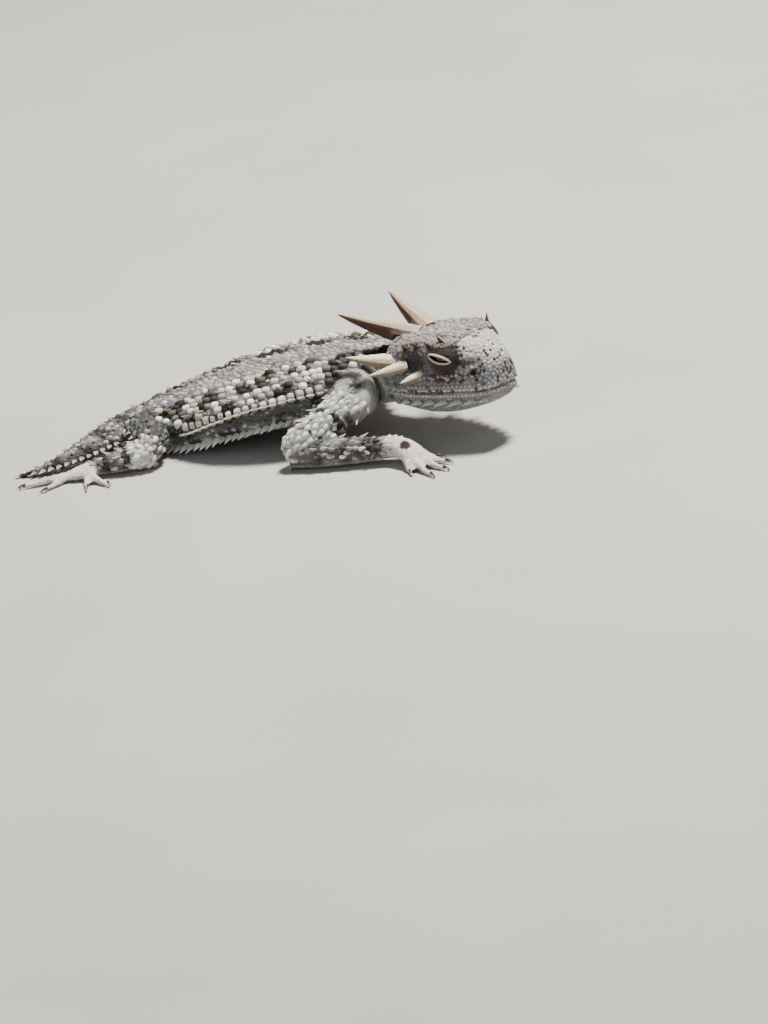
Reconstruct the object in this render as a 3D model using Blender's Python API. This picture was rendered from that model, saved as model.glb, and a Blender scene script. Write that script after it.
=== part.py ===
"""A life-size still model of a Texas horned lizard, lying with its chest raised on its forelegs.

Sizes are in millimetres while a form is built, and each finished node is scaled to metres.
+X runs along the body towards the head, +Y is the animal's left side and +Z is up. The floor is z = 0.
"""

import math
import random

import bmesh
import bpy
import numpy as np
from mathutils import Matrix, Vector

MM = 0.001
GAP = 0.3
SINK = 0.6
RIGHT, LEFT = -1, 1
SIDES = {"right": RIGHT, "left": LEFT}
SEED = 11

# The trunk, tail and neck share one centre line, which runs through the widest part of each section.
# Each row is x, y, z of that line, then half width, height above it and depth below it.
BODY_ROWS = {
    "tail_tip": (-16.5, -19.8, 0.4, 0.35, 0.35, 0.4),
    "tail_thin": (-12.6, -18.6, 0.8, 1.2, 0.8, 0.9),
    "tail_middle": (-9.2, -15.6, 1.2, 2.1, 1.4, 1.3),
    "tail_thick": (-6.3, -11.6, 1.5, 2.9, 1.9, 1.7),
    "tail_root": (-3.9, -7.2, 1.8, 3.9, 2.3, 2.1),
    "vent": (-0.6, -3.0, 2.1, 5.6, 3.0, 2.5),
    "pelvis": (5.5, -0.9, 2.6, 9.2, 4.4, 3.0),
    "loin": (13.5, -0.2, 4.4, 12.9, 5.2, 4.4),
    "waist": (20.0, 0.0, 6.9, 15.2, 5.0, 5.7),
    "belly": (27.0, 0.0, 9.1, 15.8, 4.4, 6.6),
    "chest": (34.5, 0.0, 10.4, 14.8, 4.8, 6.6),
    "shoulder": (42.0, -0.2, 11.2, 12.2, 4.8, 6.6),
    "neck": (48.5, -0.8, 12.0, 8.8, 4.6, 6.4),
    "nape": (54.5, -2.2, 12.6, 7.8, 4.6, 6.2),
}
BODY_NAMES = list(BODY_ROWS)
SQUARENESS_ABOVE = 2.1
SQUARENESS_BELOW = 2.9
TAIL_SPLIT = "tail_middle"
BODY_SIDES = 28
RINGS_PER_ROW = 2.4

NECK_OVERRUN = 2.5
HEAD_TURN = math.radians(-24)
HEAD_RAISE = math.radians(3.5)
HEAD_LEAN = math.radians(-3)

# Lines along one side of the skull, from the crown's middle down to the throat's middle.
# Each line gives distance out from the middle and height, at each of HEAD_STATIONS from nape to snout.
HEAD_STATIONS = (0.0, 3.0, 6.5, 10.0, 13.5, 16.4, 18.8, 20.4)
HEAD_LINES = {
    "crown": ((0, 6.2), (0, 6.6), (0, 6.8), (0, 6.8), (0, 6.2), (0, 5.3), (0, 4.1), (0, 2.2)),
    "crown_edge": ((4.4, 6.2), (4.8, 6.6), (4.7, 7.0), (4.4, 7.1), (3.8, 6.4), (2.9, 5.3), (2.1, 3.9), (1.3, 2.1)),
    "brow_top": ((6.8, 4.9), (7.3, 5.6), (7.3, 6.3), (6.9, 6.7), (5.6, 6.0), (4.1, 4.6), (2.9, 3.3), (1.9, 1.7)),
    "brow_edge": ((8.0, 3.7), (8.4, 4.3), (8.3, 5.1), (7.9, 5.6), (6.3, 4.9), (4.7, 3.7), (3.4, 2.5), (2.3, 1.0)),
    "cheek_top": ((8.8, 2.2), (8.9, 2.3), (8.0, 2.4), (7.1, 2.5), (6.3, 2.2), (5.1, 1.7), (3.9, 1.1), (2.7, 0.2)),
    "shelf": ((9.6, 0.6), (10.1, 0.4), (9.5, 0.0), (8.3, -0.3), (7.0, -0.5), (5.7, -0.7), (4.4, -0.9), (3.1, -1.2)),
    "upper_lip": ((8.8, -2.4), (9.2, -2.5), (8.8, -2.6), (8.0, -2.7), (6.9, -2.7), (5.8, -2.8), (4.6, -2.7),
                  (3.2, -2.6)),
    "mouth": ((8.3, -2.8), (8.6, -2.9), (8.1, -3.0), (7.3, -3.1), (6.2, -3.1), (5.1, -3.2), (3.9, -3.1), (2.5, -2.9)),
    "lower_lip": ((8.5, -3.2), (8.9, -3.3), (8.5, -3.4), (7.7, -3.5), (6.6, -3.5), (5.5, -3.6), (4.3, -3.5),
                  (2.9, -3.3)),
    "jaw": ((7.6, -5.0), (8.2, -5.4), (8.0, -5.7), (7.3, -5.8), (6.3, -5.6), (5.2, -5.2), (4.0, -4.7), (2.6, -4.1)),
    "throat_side": ((4.6, -6.2), (5.0, -7.0), (4.9, -7.5), (4.5, -7.5), (3.9, -7.1), (3.1, -6.4), (2.3, -5.6),
                    (1.4, -4.6)),
    "throat": ((0, -6.6), (0, -7.4), (0, -7.9), (0, -7.9), (0, -7.4), (0, -6.7), (0, -5.8), (0, -4.7)),
}
HEAD_RINGS = 17
SNOUT_TIP = (21.1, 0.0, -1.8)

EYE_PLACE = (11.5, 5.6, 3.1)
EYE_RADIUS = 2.3
LID_THICKNESS = 0.55
LID_SLIT_RADII = (2.45, 1.9, 0.62)
LID_SLIT_TILT = math.radians(20)
EYE_FORWARD = math.radians(20)
EYE_RAISE = math.radians(7)
EAR_PLACE = (2.2, 9.6, -1.2)
EAR_RADII = (1.0, 0.9, 1.3)
NOSTRIL_PLACE = (17.9, 4.1, 1.4)
NOSTRIL_RADIUS = 0.5

# Horns: root in the skull, direction, length and root radius, for the left side.
HORNS = {
    "occipital": ((0.8, 2.7, 6.0), (-0.88, 0.36, 0.27), 13.2, 2.05),
    "temporal_rear": ((0.8, 8.2, 2.5), (-0.86, 0.48, 0.12), 8.0, 1.6),
    "temporal_middle": ((3.6, 9.2, 1.5), (-0.72, 0.68, -0.14), 5.6, 1.3),
    "temporal_front": ((7.2, 9.0, 0.1), (-0.28, 0.95, -0.14), 3.4, 1.0),
}
HORN_SIDES = 10
HORN_BEND = 0.08
HORN_TAPER = 0.85
HORN_STEPS = (-0.12, 0.0, 0.25, 0.5, 0.75, 0.93)

# Limb rows are x, y outward from the midline, z, half width, height above and depth below the centre.
UPPER_ARM = {
    "right": ((47.5, 7.0, 10.2, 3.5, 3.5, 3.5), (44.8, 12.0, 8.6, 3.6, 3.4, 3.4), (40.2, 16.6, 6.3, 3.3, 3.1, 3.1),
              (36.2, 19.6, 4.2, 2.8, 2.8, 2.8)),
    "left": ((46.5, 7.0, 10.2, 3.5, 3.5, 3.5), (42.0, 12.2, 8.6, 3.6, 3.4, 3.4), (36.4, 16.4, 6.3, 3.3, 3.1, 3.1),
             (32.2, 19.0, 4.2, 2.8, 2.8, 2.8)),
}
FOREARM = {
    "right": ((34.9, 19.9, 2.9, 2.8, 2.8, 3.0), (41.0, 19.9, 2.8, 2.7, 2.7, 2.9), (48.0, 19.3, 2.7, 2.4, 2.4, 2.5),
              (53.8, 18.7, 3.0, 2.2, 2.1, 2.1)),
    "left": ((31.2, 19.5, 3.0, 3.0, 3.0, 3.1), (36.6, 20.2, 2.9, 3.0, 2.8, 3.0), (43.4, 20.8, 2.7, 2.5, 2.3, 2.4),
             (49.8, 21.2, 2.6, 2.0, 1.8, 1.8)),
}
HAND = {
    "right": ((53.6, 18.8, 3.0, 2.2, 2.1, 2.1), (55.8, 19.6, 2.8, 2.5, 1.9, 1.9), (57.8, 20.9, 2.1, 2.7, 1.5, 1.7)),
    "left": ((49.6, 21.2, 2.4, 1.9, 1.5, 1.7), (52.6, 21.8, 1.9, 2.3, 1.3, 1.5), (55.4, 22.8, 1.2, 2.4, 1.0, 1.3)),
}
THIGH = {
    "right": ((3.2, 4.5, 3.6, 3.4, 3.0, 3.0), (4.8, 9.0, 3.8, 3.6, 3.0, 3.4), (6.8, 13.2, 3.8, 3.3, 2.9, 3.3),
              (7.8, 16.2, 3.5, 2.9, 2.7, 2.9)),
    "left": ((3.6, 4.5, 3.0, 3.4, 2.6, 3.0), (6.6, 8.8, 3.0, 3.4, 2.6, 3.0), (10.2, 12.8, 3.2, 3.2, 2.7, 3.0),
             (12.4, 15.2, 3.2, 2.9, 2.6, 2.9)),
}
SHANK = {
    "right": ((8.2, 16.7, 3.3, 2.9, 2.6, 2.9), (5.2, 18.2, 2.8, 2.6, 2.3, 2.6), (1.8, 19.5, 2.2, 2.0, 1.9, 2.1),
              (-0.8, 20.1, 1.9, 1.6, 1.5, 1.7)),
    "left": ((12.6, 15.8, 3.3, 2.9, 2.6, 2.9), (10.4, 18.2, 2.8, 2.6, 2.3, 2.6), (7.6, 20.2, 2.2, 2.0, 1.9, 2.1),
             (5.4, 21.6, 1.9, 1.6, 1.5, 1.7)),
}
FOOT = {
    "right": ((-0.2, 20.0, 1.8, 1.7, 1.4, 1.6), (-2.6, 20.6, 1.6, 2.2, 1.2, 1.5), (-5.0, 21.6, 1.1, 2.3, 1.0, 1.2)),
    "left": ((5.8, 21.4, 1.8, 1.7, 1.4, 1.6), (8.0, 22.6, 1.6, 2.2, 1.2, 1.5), (10.4, 23.4, 1.1, 2.3, 1.0, 1.2)),
}
LIMB_SIDES = 12

# Digits: heading in degrees from +X towards the animal's outside, length, then where its root is on the palm,
# on from the middle of the last palm row and out across it.
FINGERS = {
    "right": ((-4, 3.4, -1.6, -2.0), (12, 5.0, -0.2, -1.5), (29, 6.4, 0.4, -0.3), (46, 7.2, 0.0, 0.9),
              (64, 3.0, -0.1, 1.8)),
    "left": ((-14, 3.6, -1.4, -1.9), (8, 5.0, -0.4, -1.4), (28, 6.0, 0.2, -0.2), (50, 6.4, -0.2, 1.0),
             (80, 4.6, -1.6, 1.9)),
}
TOES = {
    "right": ((40, 6.0, -2.1, -1.1), (76, 7.8, -2.6, 1.6), (120, 8.0, -0.8, 1.3), (154, 8.4, 0.6, 0.2),
              (180, 5.4, -1.6, -1.6)),
    "left": ((-6, 5.2, -1.2, -1.6), (14, 7.2, 0.2, -1.0), (34, 8.2, 0.6, 0.2), (56, 8.4, 0.0, 1.2),
             (96, 5.4, -2.4, 1.6)),
}
DIGIT_RADIUS = 0.85
CLAW_LENGTH = 1.9

# A pointed scale is length, width and thickness. Lean tips it along a tube and lift tips it up.
SPINE_CLEARANCE = 0.45
SPINE_VARIETY = 0.14
SPINE_MARGIN = 0.22
DORSAL_JITTER = 0.12
LOWEST_SPINE_TIP = 0.25
UPPER_FRINGE = {"angle": 4, "span": (5.35, 11.3), "count": 20, "size": (2.5, 2.0, 1.0), "lean": -0.5, "lift": 0.15}
LOWER_FRINGE = {"angle": -24, "span": (5.9, 11.0), "count": 16, "size": (1.6, 1.8, 0.9), "lean": -0.7, "lift": 0.1}
DORSAL_ROWS = (
    {"angle": 79, "span": (5.7, 11.2), "count": 7, "size": (1.6, 1.7, 1.6), "lean": -1.0, "lift": 0},
    {"angle": 66, "span": (5.4, 11.5), "count": 8, "size": (2.1, 1.9, 1.8), "lean": -0.9, "lift": 0},
    {"angle": 50, "span": (5.8, 11.2), "count": 8, "size": (1.7, 1.7, 1.6), "lean": -0.9, "lift": 0},
    {"angle": 32, "span": (5.6, 11.3), "count": 9, "size": (1.9, 1.8, 1.6), "lean": -0.8, "lift": 0},
)
TAIL_ROWS = (
    {"angle": 4, "span": (0.7, 4.8), "count": 13, "size": (1.4, 1.5, 0.9), "lean": -0.7, "lift": 0.1},
    {"angle": 62, "span": (0.9, 4.7), "count": 9, "size": (1.1, 1.3, 1.1), "lean": -1.0, "lift": 0},
)
NECK_ROWS = (
    {"angle": 64, "span": (12.25, 12.25), "count": 1, "size": (1.6, 1.6, 1.4), "lean": -0.8, "lift": 0},
    {"angle": 30, "span": (12.25, 12.6), "count": 2, "size": (1.7, 1.6, 1.4), "lean": -0.8, "lift": 0},
)

# Rows on a limb, each named by the way it faces: towards the head, out from the body and up.
LIMB_ROWS = {
    "upper_arm": (
        {"faces": (0.1, 0.2, 1.0), "span": (0.7, 2.6), "count": 5, "size": (2.3, 2.3, 1.7), "lean": 1.3, "lift": 0},
        {"faces": (-0.8, 0.3, 0.6), "span": (0.9, 2.4), "count": 4, "size": (2.1, 2.2, 1.6), "lean": 1.3, "lift": 0},
        {"faces": (1.0, 0.0, -0.1), "span": (0.9, 2.3), "count": 5, "size": (1.7, 1.7, 1.2), "lean": 0.8, "lift": 0},
    ),
    "forearm": (
        {"faces": (0.0, 1.0, 0.5), "span": (0.4, 2.7), "count": 6, "size": (1.7, 1.9, 1.4), "lean": 1.1, "lift": 0},
        {"faces": (0.0, -0.5, 1.0), "span": (0.9, 2.7), "count": 4, "size": (1.6, 1.8, 1.4), "lean": 1.2, "lift": 0},
    ),
    "thigh": (
        {"faces": (0.2, 0.2, 1.0), "span": (1.4, 2.7), "count": 3, "size": (2.1, 2.1, 1.6), "lean": 1.2, "lift": 0},
        {"faces": (-1.0, 0.2, 0.4), "span": (1.5, 2.7), "count": 3, "size": (2.1, 2.0, 1.5), "lean": 1.2, "lift": 0},
    ),
    "shank": (
        {"faces": (0.2, 0.8, 0.7), "span": (0.4, 2.4), "count": 4, "size": (1.7, 1.8, 1.3), "lean": 1.1, "lift": 0},
        {"faces": (-0.5, -0.5, 1.0), "span": (0.9, 2.3), "count": 3, "size": (1.6, 1.7, 1.3), "lean": 1.1, "lift": 0},
    ),
}

# Scales of the head: line of the skull, place along it, share of the way to the next line, then direction and size.
CHIN_SHIELDS = {"line": "lower_lip", "share": 0.4, "places": (3.4, 6.4, 9.4, 12.4, 15.2, 17.7),
                "direction": (-0.55, 0.75, -0.42), "size": (1.8, 2.2, 1.2)}
BROW_SCALES = {"line": "brow_top", "share": 0.7, "places": (5.2, 7.6, 10.0),
               "direction": (-0.3, 0.6, 0.75), "size": (0.9, 1.8, 1.2)}
BROW_SPINE = {"line": "brow_top", "share": 0.5, "places": (12.4,),
              "direction": (-0.2, 0.35, 0.92), "size": (2.2, 1.9, 1.5)}
CHEEK_SCALES = {"line": "cheek_top", "share": 0.9, "places": (10.4, 13.0, 15.4),
                "direction": (-0.3, 0.9, 0.3), "size": (0.8, 1.8, 1.1)}
JAW_SPINE = {"line": "lower_lip", "share": 0.7, "places": (0.9,),
             "direction": (-0.45, 0.88, -0.1), "size": (2.0, 1.9, 1.5)}
HEAD_SCALES = (CHIN_SHIELDS, BROW_SCALES, BROW_SPINE, CHEEK_SCALES, JAW_SPINE)

TORSO_COLOUR = (0.52, 0.49, 0.45, 1)
HORN_COLOUR = (0.55, 0.42, 0.30, 1)
EYE_COLOUR = (0.05, 0.035, 0.03, 1)
LIMB_COLOUR = (0.60, 0.58, 0.54, 1)


def spline(rows, t):
    """The Catmull-Rom curve through rows, at t from 0 to len(rows) - 1."""
    rows = np.asarray(rows, float)
    padded = np.vstack([2 * rows[0] - rows[1], rows, 2 * rows[-1] - rows[-2]])
    start = min(max(int(t), 0), len(rows) - 2)
    u = t - start
    before, a, b, after = padded[start:start + 4]
    return a + 0.5 * u * (b - before + u * (2 * before - 5 * a + 4 * b - after + u * (3 * (a - b) + after - before)))


def unit(vector):
    return vector / np.linalg.norm(vector)


class Tube:
    """A rounded form about a smooth centre line. Angle 0 is its left edge and a quarter turn is its top."""

    def __init__(self, rows, above=2.0, below=2.0):
        self.rows = np.asarray(rows, float)
        self.above = above
        self.below = below
        self.end = len(self.rows) - 1

    def frame(self, t):
        row = spline(self.rows, t)
        ahead = spline(self.rows, min(t + 0.05, self.end))[:3] - spline(self.rows, max(t - 0.05, 0))[:3]
        forward = unit(ahead)
        left = unit(np.cross((0, 0, 1), forward))
        return row[:3], forward, left, np.cross(forward, left), row[3:]

    def speed(self, t):
        """Millimetres of centre line for each unit of t."""
        ahead = spline(self.rows, t + 0.02)[:3] - spline(self.rows, t - 0.02)[:3]
        return np.linalg.norm(ahead) / 0.04

    def point(self, t, angle, grow=0.0):
        centre, _, left, up, (width, rise, drop) = self.frame(t)
        c, s = math.cos(angle), math.sin(angle)
        power = 2 / (self.above if s > 0 else self.below)
        out = math.copysign(abs(c) ** power, c) * (width + grow)
        high = math.copysign(abs(s) ** power, s) * ((rise if s > 0 else drop) + grow)
        return centre + left * out + up * high

    def outward(self, t, angle):
        """The surface's normal."""
        along = self.point(min(t + 0.05, self.end), angle) - self.point(max(t - 0.05, 0), angle)
        around = self.point(t, angle + 0.05) - self.point(t, angle - 0.05)
        return unit(np.cross(around, along))

    def clearance(self, point):
        """Roughly how far point lies outside the surface, below 0 inside."""
        steps = np.linspace(0, self.end, 6 * self.end + 1)
        t = min(steps, key=lambda step: np.linalg.norm(spline(self.rows, step)[:3] - point))
        centre, forward, left, up, (width, rise, drop) = self.frame(t)
        offset = point - centre
        out, high = np.dot(offset, left), np.dot(offset, up)
        tall = rise if high > 0 else drop
        ratio = math.hypot(out / width, high / tall)
        beyond = abs(np.dot(offset, forward)) if t in (0, self.end) else 0.0
        return max((ratio - 1) * math.hypot(out, high) / max(ratio, 0.01), beyond - tall)

    def facing(self, t, direction):
        """The angle at which the surface faces direction best."""
        turns = [2 * math.pi * i / 48 for i in range(48)]
        return max(turns, key=lambda angle: np.dot(self.outward(t, angle), direction))

    def ring(self, t, sides, grow=0.0):
        turns = (2 * math.pi * i / sides for i in range(sides))
        return [self.point(t, angle, grow) for angle in turns]

    def rings(self, start, stop, count, sides, grow=0.0):
        return [self.ring(t, sides, grow) for t in np.linspace(start, stop, count)]

    def rounded(self, count, sides, grow=0.0, tail_cap=True):
        """Rings over the whole length, with a dome of one more ring and a pole at the far end."""
        rings = self.rings(0, self.end, count, sides, grow)
        if not tail_cap:
            return rings, None
        centre, forward, _, _, (width, rise, drop) = self.frame(self.end)
        reach = (width + rise + drop) / 3 + grow
        last = np.array(rings[-1])
        middle = last.mean(axis=0)
        rings.append(list(middle + (last - middle) * 0.72 + forward * reach * 0.7))
        return rings, centre + forward * reach


def new_object(name, vertices, faces):
    """A mesh object whose faces point outwards."""
    mesh = bpy.data.meshes.new(name)
    mesh.from_pydata([tuple(map(float, v)) for v in vertices], [], faces)
    shape = bmesh.new()
    shape.from_mesh(mesh)
    bmesh.ops.recalc_face_normals(shape, faces=shape.faces)
    shape.to_mesh(mesh)
    shape.free()
    thing = bpy.data.objects.new(name, mesh)
    bpy.context.scene.collection.objects.link(thing)
    return thing


def loft(name, rings, far_pole=None, near_pole=None):
    """A closed form through rings of equal count, each end flat or drawn to a pole."""
    sides = len(rings[0])
    vertices = [point for ring in rings for point in ring]
    faces = []
    for r in range(len(rings) - 1):
        for i in range(sides):
            j = (i + 1) % sides
            faces.append((r * sides + i, r * sides + j, (r + 1) * sides + j, (r + 1) * sides + i))
    ends = ((0, near_pole), ((len(rings) - 1) * sides, far_pole))
    for first, pole in ends:
        if pole is None:
            faces.append(tuple(range(first, first + sides)))
            continue
        vertices.append(pole)
        centre = len(vertices) - 1
        faces += [(first + i, first + (i + 1) % sides, centre) for i in range(sides)]
    return new_object(name, vertices, faces)


def spike(root, normal, tip, long_way, width, thickness):
    """A four-sided pointed scale of the given width at the surface, carried on below it to a sunk foot."""
    normal = unit(normal)
    long_way = unit(long_way - normal * np.dot(long_way, normal))
    short_way = np.cross(normal, long_way)
    onward = SINK / np.dot(tip - root, normal)
    foot = root - (tip - root) * onward
    half_width, half_thickness = width * (1 + onward) / 2, thickness * (1 + onward) / 2
    offsets = (long_way * half_width, short_way * half_thickness, -long_way * half_width, -short_way * half_thickness)
    vertices = [foot + offset for offset in offsets] + [tip]
    faces = [(0, 1, 2, 3)] + [(i, (i + 1) % 4, 4) for i in range(4)]
    return new_object("spike", vertices, faces)


def tube_spike(tube, t, angle, row, growth, neighbours, along_body):
    """One pointed scale of a row on a tube, or nothing where it would come too near a neighbour or the floor."""
    length, width, thickness = (part * growth for part in row["size"])
    root = tube.point(t, angle)
    normal = tube.outward(t, angle)
    forward = tube.frame(t)[1]
    tip = root + unit(normal + forward * row["lean"] + np.array((0, 0, row["lift"]))) * length
    if tip[2] < LOWEST_SPINE_TIP or root[2] < LOWEST_SPINE_TIP:
        return None
    for neighbour in neighbours:
        if min(neighbour.clearance(tip), neighbour.clearance(root)) < SPINE_CLEARANCE:
            return None
    long_way = forward if along_body else np.cross(normal, forward)
    return spike(root, normal, tip, long_way, width, thickness)


def rows_on_body(body, rows, span, neighbours, along_body, jitter=0.0):
    """Pointed scales along both sides of the trunk or tail, between the cuts of one node."""
    pieces = []
    for row in rows:
        for t in np.linspace(*row["span"], row["count"]):
            for side in SIDES.values():
                place = t + random.uniform(-jitter, jitter)
                if not span[0] < place < span[1]:
                    continue
                angle = math.radians(row["angle"])
                angle = angle if side == LEFT else math.pi - angle
                growth = 1 + random.uniform(-SPINE_VARIETY, SPINE_VARIETY)
                pieces.append(tube_spike(body, place, angle, row, growth, neighbours, along_body))
    return [piece for piece in pieces if piece]


def rows_on_limb(tube, rows, side, neighbours):
    pieces = []
    for row in rows:
        ahead, out, up = row["faces"]
        for t in np.linspace(*row["span"], row["count"]):
            angle = tube.facing(t, unit(np.array((ahead, out * side, up))))
            growth = 1 + random.uniform(-SPINE_VARIETY, SPINE_VARIETY)
            pieces.append(tube_spike(tube, t, angle, row, growth, neighbours, False))
    return [piece for piece in pieces if piece]


def ball(place, radii, rings=8, sides=12):
    """An ellipsoid with its poles up and down."""
    thing = bpy.data.objects.new("ball", bpy.data.meshes.new("ball"))
    shape = bmesh.new()
    bmesh.ops.create_uvsphere(shape, u_segments=sides, v_segments=rings, radius=1.0)
    bmesh.ops.scale(shape, vec=radii, verts=shape.verts)
    bmesh.ops.translate(shape, vec=place, verts=shape.verts)
    shape.to_mesh(thing.data)
    shape.free()
    bpy.context.scene.collection.objects.link(thing)
    return thing


def apply_boolean(thing, pieces, operation):
    """Joins pieces to thing, or cuts them from it, and removes them."""
    if not pieces:
        return thing
    group = bpy.data.collections.new("pieces")
    bpy.context.scene.collection.children.link(group)
    for piece in pieces:
        bpy.context.scene.collection.objects.unlink(piece)
        group.objects.link(piece)
    step = thing.modifiers.new("boolean", "BOOLEAN")
    step.operation = operation
    step.operand_type = "COLLECTION"
    step.collection = group
    step.solver = "MANIFOLD"
    graph = bpy.context.evaluated_depsgraph_get()
    made = bpy.data.meshes.new_from_object(thing.evaluated_get(graph))
    thing.modifiers.clear()
    thing.data = made
    for piece in list(group.objects):
        bpy.data.objects.remove(piece)
    bpy.data.collections.remove(group)
    return thing


def join(thing, pieces):
    return apply_boolean(thing, pieces, "UNION")


def cut(thing, *cutters):
    return apply_boolean(thing, cutters, "DIFFERENCE")


def cut_floor(thing):
    """Takes off all that lies below the floor, which leaves small flats at one level."""
    slab = ball((0, 0, 0), (1, 1, 1))
    shape = bmesh.new()
    bmesh.ops.create_cube(shape, size=2.0)
    bmesh.ops.scale(shape, vec=(150, 150, 20), verts=shape.verts)
    bmesh.ops.translate(shape, vec=(0, 0, -20), verts=shape.verts)
    shape.to_mesh(slab.data)
    shape.free()
    return cut(thing, slab)


def keep_largest(thing):
    """Leaves only the largest closed surface of thing."""
    shape = bmesh.new()
    shape.from_mesh(thing.data)
    shape.faces.ensure_lookup_table()
    groups, seen = [], set()
    for face in shape.faces:
        if face in seen:
            continue
        group, waiting = set(), [face]
        seen.add(face)
        while waiting:
            one = waiting.pop()
            group.add(one)
            for edge in one.edges:
                for other in edge.link_faces:
                    if other not in seen:
                        seen.add(other)
                        waiting.append(other)
        groups.append(group)
    largest = max(groups, key=lambda g: sum(f.calc_area() for f in g))
    extra = [f for f in shape.faces if f not in largest]
    bmesh.ops.delete(shape, geom=extra, context="FACES")
    loose = [v for v in shape.verts if not v.link_faces]
    bmesh.ops.delete(shape, geom=loose, context="VERTS")
    shape.to_mesh(thing.data)
    shape.free()
    return thing


def finish(thing, name, material):
    """Names the node, gives it its material and brings it to metres."""
    keep_largest(thing)
    thing.name = name
    thing.data.name = name
    thing.data.materials.clear()
    thing.data.materials.append(material)
    thing.data.transform(Matrix.Scale(MM, 4))
    thing.data.shade_smooth()
    thing.data.set_sharp_from_angle(angle=math.radians(38))
    return thing


def finish_material(name, colour, roughness):
    material = bpy.data.materials.new(name)
    material.use_nodes = True
    shader = material.node_tree.nodes["Principled BSDF"]
    shader.inputs["Base Color"].default_value = colour
    shader.inputs["Roughness"].default_value = roughness
    shader.inputs["Metallic"].default_value = 0.0
    return material


def clear_scene():
    for thing in list(bpy.data.objects):
        bpy.data.objects.remove(thing)


def body_t(name):
    return BODY_NAMES.index(name)


def mirrored(rows, side):
    """Limb rows written for the outward direction, moved to one side of the body."""
    return [(row[0], row[1] * side, *row[2:]) for row in rows]


def limb_mesh(tube, count=9, grow=0.0):
    rings, pole = tube.rounded(count, LIMB_SIDES, grow)
    return loft("limb", rings, far_pole=pole)


def body_cutter(body):
    """The plain trunk and neck, a gap larger all round, to seat what grows from them."""
    start = body_t("tail_root")
    count = 3 * (body.end - start) + 1
    return loft("cutter", body.rings(start, body.end, count, BODY_SIDES, GAP))


def head_matrix(body):
    """The skull's place: x runs to the snout, y to its left and z up, from the nape's cut."""
    centre, forward, _, _, _ = body.frame(body.end)
    turn = Matrix.Rotation(HEAD_TURN, 4, "Z") @ Matrix.Rotation(-HEAD_RAISE, 4, "Y")
    turn = turn @ Matrix.Rotation(HEAD_LEAN, 4, "X")
    return Matrix.Translation(Vector(centre + forward * GAP)) @ turn


def head_shape():
    """The skull, throat and jaw with the line of the mouth, before sockets and scales."""
    lines = list(HEAD_LINES.values())
    rings = []
    for x in np.linspace(HEAD_STATIONS[0], HEAD_STATIONS[-1], HEAD_RINGS):
        t = float(np.interp(x, HEAD_STATIONS, range(len(HEAD_STATIONS))))
        half = [spline(line, t) for line in lines]
        left = [(x, y, z) for y, z in half]
        right = [(x, -y, z) for y, z in half[-2:0:-1]]
        rings.append(left + right)
    return loft("head", rings, far_pole=SNOUT_TIP)


def head_point(line, share, x, side):
    """A point on the skull, share of the way from a line to the next one down, and the way the skull faces there."""
    names = list(HEAD_LINES)
    upper, lower = HEAD_LINES[line], HEAD_LINES[names[names.index(line) + 1]]

    def place(station, part):
        t = float(np.interp(station, HEAD_STATIONS, range(len(HEAD_STATIONS))))
        y, z = (1 - part) * spline(upper, t) + part * spline(lower, t)
        return np.array((station, y, z))

    along = place(x + 0.2, share) - place(x - 0.2, share)
    around = place(x, share + 0.1) - place(x, share - 0.1)
    normal = unit(np.cross(along, around))
    flip = np.array((1, side, 1))
    return place(x, share) * flip, normal * flip


def head_scales(side):
    pieces = []
    for row in HEAD_SCALES:
        length, width, thickness = row["size"]
        for x in row["places"]:
            root, normal = head_point(row["line"], row["share"], x, side)
            ahead, out, up = row["direction"]
            tip = root + unit(np.array((ahead, out * side, up))) * length
            pieces.append(spike(root, normal, tip, np.array((1.0, 0, 0)), width, thickness))
    return pieces


def lid_slit(side):
    """The half-open slit between the lids, which looks a little forward and drops towards the snout."""
    x, y, z = EYE_PLACE
    slit = ball((0, 0, 0), LID_SLIT_RADII, 8, 14)
    look = Matrix.Rotation(-EYE_FORWARD * side, 4, "Z") @ Matrix.Rotation(EYE_RAISE * side, 4, "X")
    place = Matrix.Translation((x, y * side, z)) @ look @ Matrix.Translation((0, EYE_RADIUS * side, 0))
    slit.data.transform(place @ Matrix.Rotation(LID_SLIT_TILT, 4, "Y"))
    return slit


def make_head(body, skin):
    head = head_shape()
    sockets, extras = [], []
    for side in SIDES.values():
        x, y, z = EYE_PLACE
        reach = EYE_RADIUS + GAP
        extras.append(ball((x, y * side, z), (reach + LID_THICKNESS,) * 3, 10, 16))
        sockets.append(ball((x, y * side, z), (reach,) * 3, 10, 16))
        sockets.append(lid_slit(side))
        ex, ey, ez = EAR_PLACE
        sockets.append(ball((ex, ey * side, ez), EAR_RADII))
        nx, ny, nz = NOSTRIL_PLACE
        sockets.append(ball((nx, ny * side, nz), (NOSTRIL_RADIUS,) * 3, 6, 8))
        extras += head_scales(side)
    join(head, extras)
    cut(head, *sockets)
    head.data.transform(head_matrix(body))
    return finish(head, "head", skin)


def make_eye(body, name, side, colour):
    x, y, z = EYE_PLACE
    eye = ball((x, y * side, z), (EYE_RADIUS,) * 3, 10, 16)
    eye.data.transform(head_matrix(body))
    return finish(eye, name, colour)


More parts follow.
